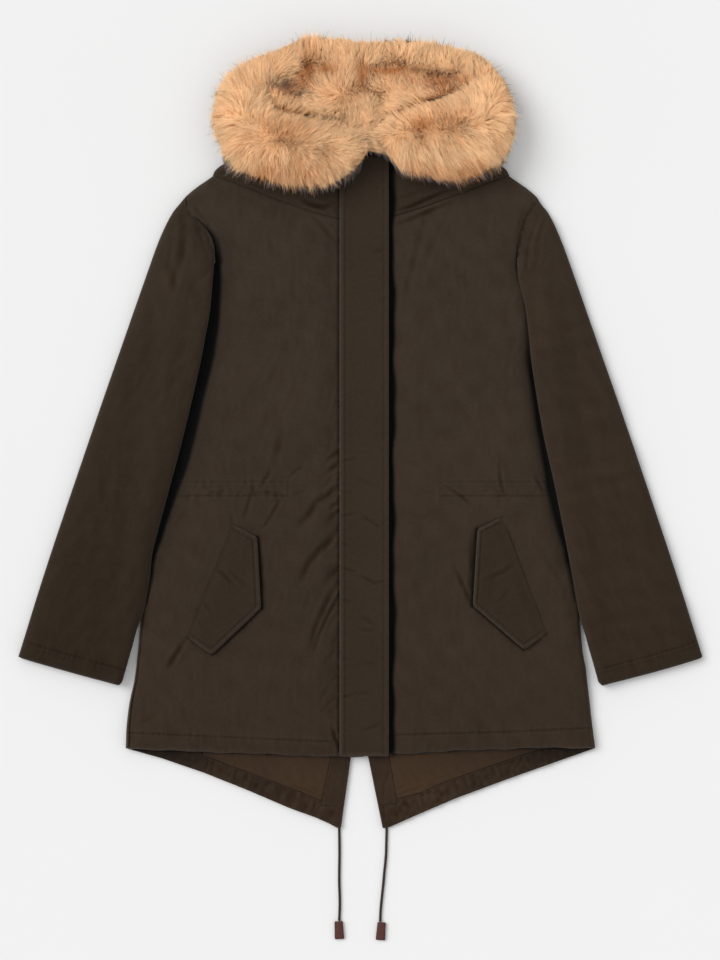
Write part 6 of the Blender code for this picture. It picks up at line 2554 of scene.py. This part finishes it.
    def skin(self) -> Placed:
        """The fur's backing: a tube well inside the strands."""
        around, sides = 116, 28
        place = np.repeat(np.linspace(0, len(self.sections) - 1, around), sides)
        turn = np.tile(2 * math.pi * np.arange(sides) / sides, around)
        vertices = self.form(place, turn, self.depth * 0.40)
        vertices += self.slopes(place, turn)[0] * field_noise(vertices, 8, 18)[:, None] * 1.2
        blank = np.zeros(len(vertices))
        marks = {"tip": blank + 0.6, "shade": blank + 0.9,
                 "warm": 0.2 + 0.8 * self.grooming.strength(self.grooming.brown_and_painted_shade_spots, vertices),
                 "smoke": self.grooming.strength(self.grooming.dark_hair_and_shade_spots, vertices) * 0.6}
        return mesh_object("fur_trim_skin", vertices, tube_faces(around, sides), TRIM_FUR, Slot.FUR, marks)

    def make(self) -> None:
        """Make the skin, the strands in four lengths of the ring, and the guard hair."""
        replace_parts(self.skin(), "fur_trim")
        strands = self.strands()
        quarter = self.quarters(strands)
        for index, name in enumerate(("front_right", "top_right", "top_left", "front_left")):
            strands.part(quarter == index).make(f"fur_trim_{name}_strands", TRIM_FUR, Slot.FUR)
        self.guard_hair().make("fur_trim_guard_hair", GUARD_FUR, Slot.FUR)

    def quarters(self, strands: Strands) -> Array:
        """Which quarter of the ring each strand is in."""
        right = strands.root[:, 0] < 2
        front = strands.root[:, 1] < 440
        return np.where(right, np.where(front, 0, 1), np.where(front, 3, 2))


@dataclass
class HoodLining:
    """The pile lining in the hood's opening: a backing and shorter strands combed by the same marks.

    Attributes:
        run_under: How far it goes under the fur round it.
        edge_top: The backing's height at its edge.
        full_top: The backing's height in its middle.
        front_top: How high the pile stands beside the front's fur.
        back_top: How high it stands beside the top's fur.
        pile_depth: From its tips down to the dense under-fur.
    """

    trim: FurTrim
    run_under: float = 9
    edge_top: float = 8
    full_top: float = 18
    front_top: float = 57
    back_top: float = 45
    pile_depth: float = 9
    strand_count: int = 26000
    seed: int = 29

    def outline(self) -> Array:
        """The lining's outline, a little under the fur all round."""
        inner = self.trim.opening()
        away = inner - inner.mean(axis=0)
        return closed_outline(inner + away / np.hypot(*away.T)[:, None] * self.run_under)

    def backing_top(self, outline: Array, x: Array, y: Array) -> Array:
        """The backing's top."""
        return self.edge_top + (self.full_top - self.edge_top) * dome(edge_distance(outline, x, y) / 18) - 3

    def pile_height(self, x: Array, y: Array) -> Array:
        """How high the pile's tips stand: level with the fur at front and top, lower where dark hair and
        painted shade gather.
        """
        ring = [row[2:4] for row in self.trim.sections]
        front, top = (distance_to(as_line(edge), x, y) for edge in (ring[20:] + ring[:9], ring[8:21]))
        flat = np.column_stack((x, y, np.zeros(len(x))))
        sunk = 6 * self.trim.grooming.strength(self.trim.grooming.dark_hair_and_shade_spots, flat)
        share = smoothstep(front / (front + top + 1e-6))
        level = self.front_top + (self.back_top - self.front_top) * share
        return level - sunk + 2 * field_noise(flat, 15, 34)

    def under_depth(self, outline: Array, x: Array, y: Array) -> Array:
        """How far the dense under-fur lies below the pile's tips, further at its edge."""
        tucked = 1 - smoothstep(edge_distance(outline, x, y) / 7)
        return self.pile_depth + 5 * tucked

    def cushion(self, name: str, outline: Array, top: Surface) -> Placed:
        """A closed body on the lining's outline.

        Args:
            name: The piece's name.
            outline: The lining's outline.
            top: Its height at each point.

        Returns:
            The object.
        """
        fine = closed_outline(straight_run([*map(tuple, outline), tuple(outline[0])], OUTLINE_STEP))
        points = np.vstack((fine, scattered(fine, 7)))
        flat, faces, _ = triangulated(points, len(fine))
        floor = LAYERS.back_top + LAYERS.gap
        vertices = np.vstack((np.column_stack((flat, top(*flat.T))),
                              np.column_stack((flat, np.full(len(flat), floor)))))
        count = len(fine)
        walls = [(index, (index + 1) % count, len(flat) + (index + 1) % count, len(flat) + index)
                 for index in range(count)]
        everything = faces.tolist() + (faces[:, ::-1] + len(flat)).tolist() + walls
        blank = np.zeros(len(vertices))
        warm = self.trim.grooming.strength(self.trim.grooming.brown_and_painted_shade_spots, vertices)
        marks = {"tip": blank + 0.7, "shade": blank + 0.95, "warm": 0.2 + 0.8 * warm, "smoke": blank}
        return mesh_object(name, vertices, everything, PILE_FUR, Slot.PILE, marks)

    def make(self) -> None:
        """Make the backing, the dense under-fur on it and the pile."""
        outline = self.outline()
        backing = self.cushion("hood_lining_backing", outline, lambda x, y: self.backing_top(outline, x, y))
        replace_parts(backing, "hood_lining")
        self.cushion("hood_lining_under_fur", outline,
                     lambda x, y: self.pile_height(x, y) - self.under_depth(outline, x, y))
        self.pile(outline).make("hood_lining_pile", PILE_FUR, Slot.PILE)

    def pile(self, outline: Array) -> Strands:
        """The pile's strands."""
        rng = np.random.default_rng(self.seed)
        grooming = self.trim.grooming
        low, high = outline.min(axis=0), outline.max(axis=0)
        flat = rng.uniform(low, high, (4 * self.strand_count, 2))
        flat = flat[is_inside(outline, *flat.T)][: self.strand_count]
        count = len(flat)
        depth = self.pile_depth + 4
        root = np.column_stack((flat, self.pile_height(*flat.T) - depth))
        lean = grooming.lean(*flat.T) * (1.4 + 0.3 * field_noise(root, 13, 30)[:, None])
        ruffle(lean, rng, field_noise(root, 14, 30) * 5, 2.5, 2.6)
        rise = np.column_stack((np.zeros((count, 2)), depth + rng.normal(0, 1.4, count)))
        tip = root + lean + rise
        middle = root + lean * 0.15 + rise * 0.8
        up = np.tile((0, 0, 1), (count, 1))
        tilt = up + rng.normal(0, 0.4, (count, 3))
        width = rng.uniform(0.42, 0.58, count)
        made = Strands(root, middle, tip, tilt, up, *grooming.tones(rng, (root + tip) / 2), width)
        clump(made, rng, 80, 0.2, 20, 1.5)
        clump(made, rng, 9, 0.5, 7, 1.5)
        return made


def main() -> None:
    """Build the parka's pieces in order and report each one."""
    logging.basicConfig(level=logging.INFO, format="%(name)s: %(message)s")
    studio = Studio()
    studio.camera()
    studio.light()
    studio.floor()
    for cord in DRAWCORDS:
        cord.make()
    for side in Side:
        BackPanel(side).make()
        HoodShell(side).make()
    for part in (*COLLARS, *TAIL_INSIDES, *FRONTS, *POCKET_FLAPS, *SLEEVES):
        part.make()
    PLACKET.make()
    trim = FurTrim()
    HoodLining(trim).make()
    trim.make()


if __name__ == "__main__":
    main()
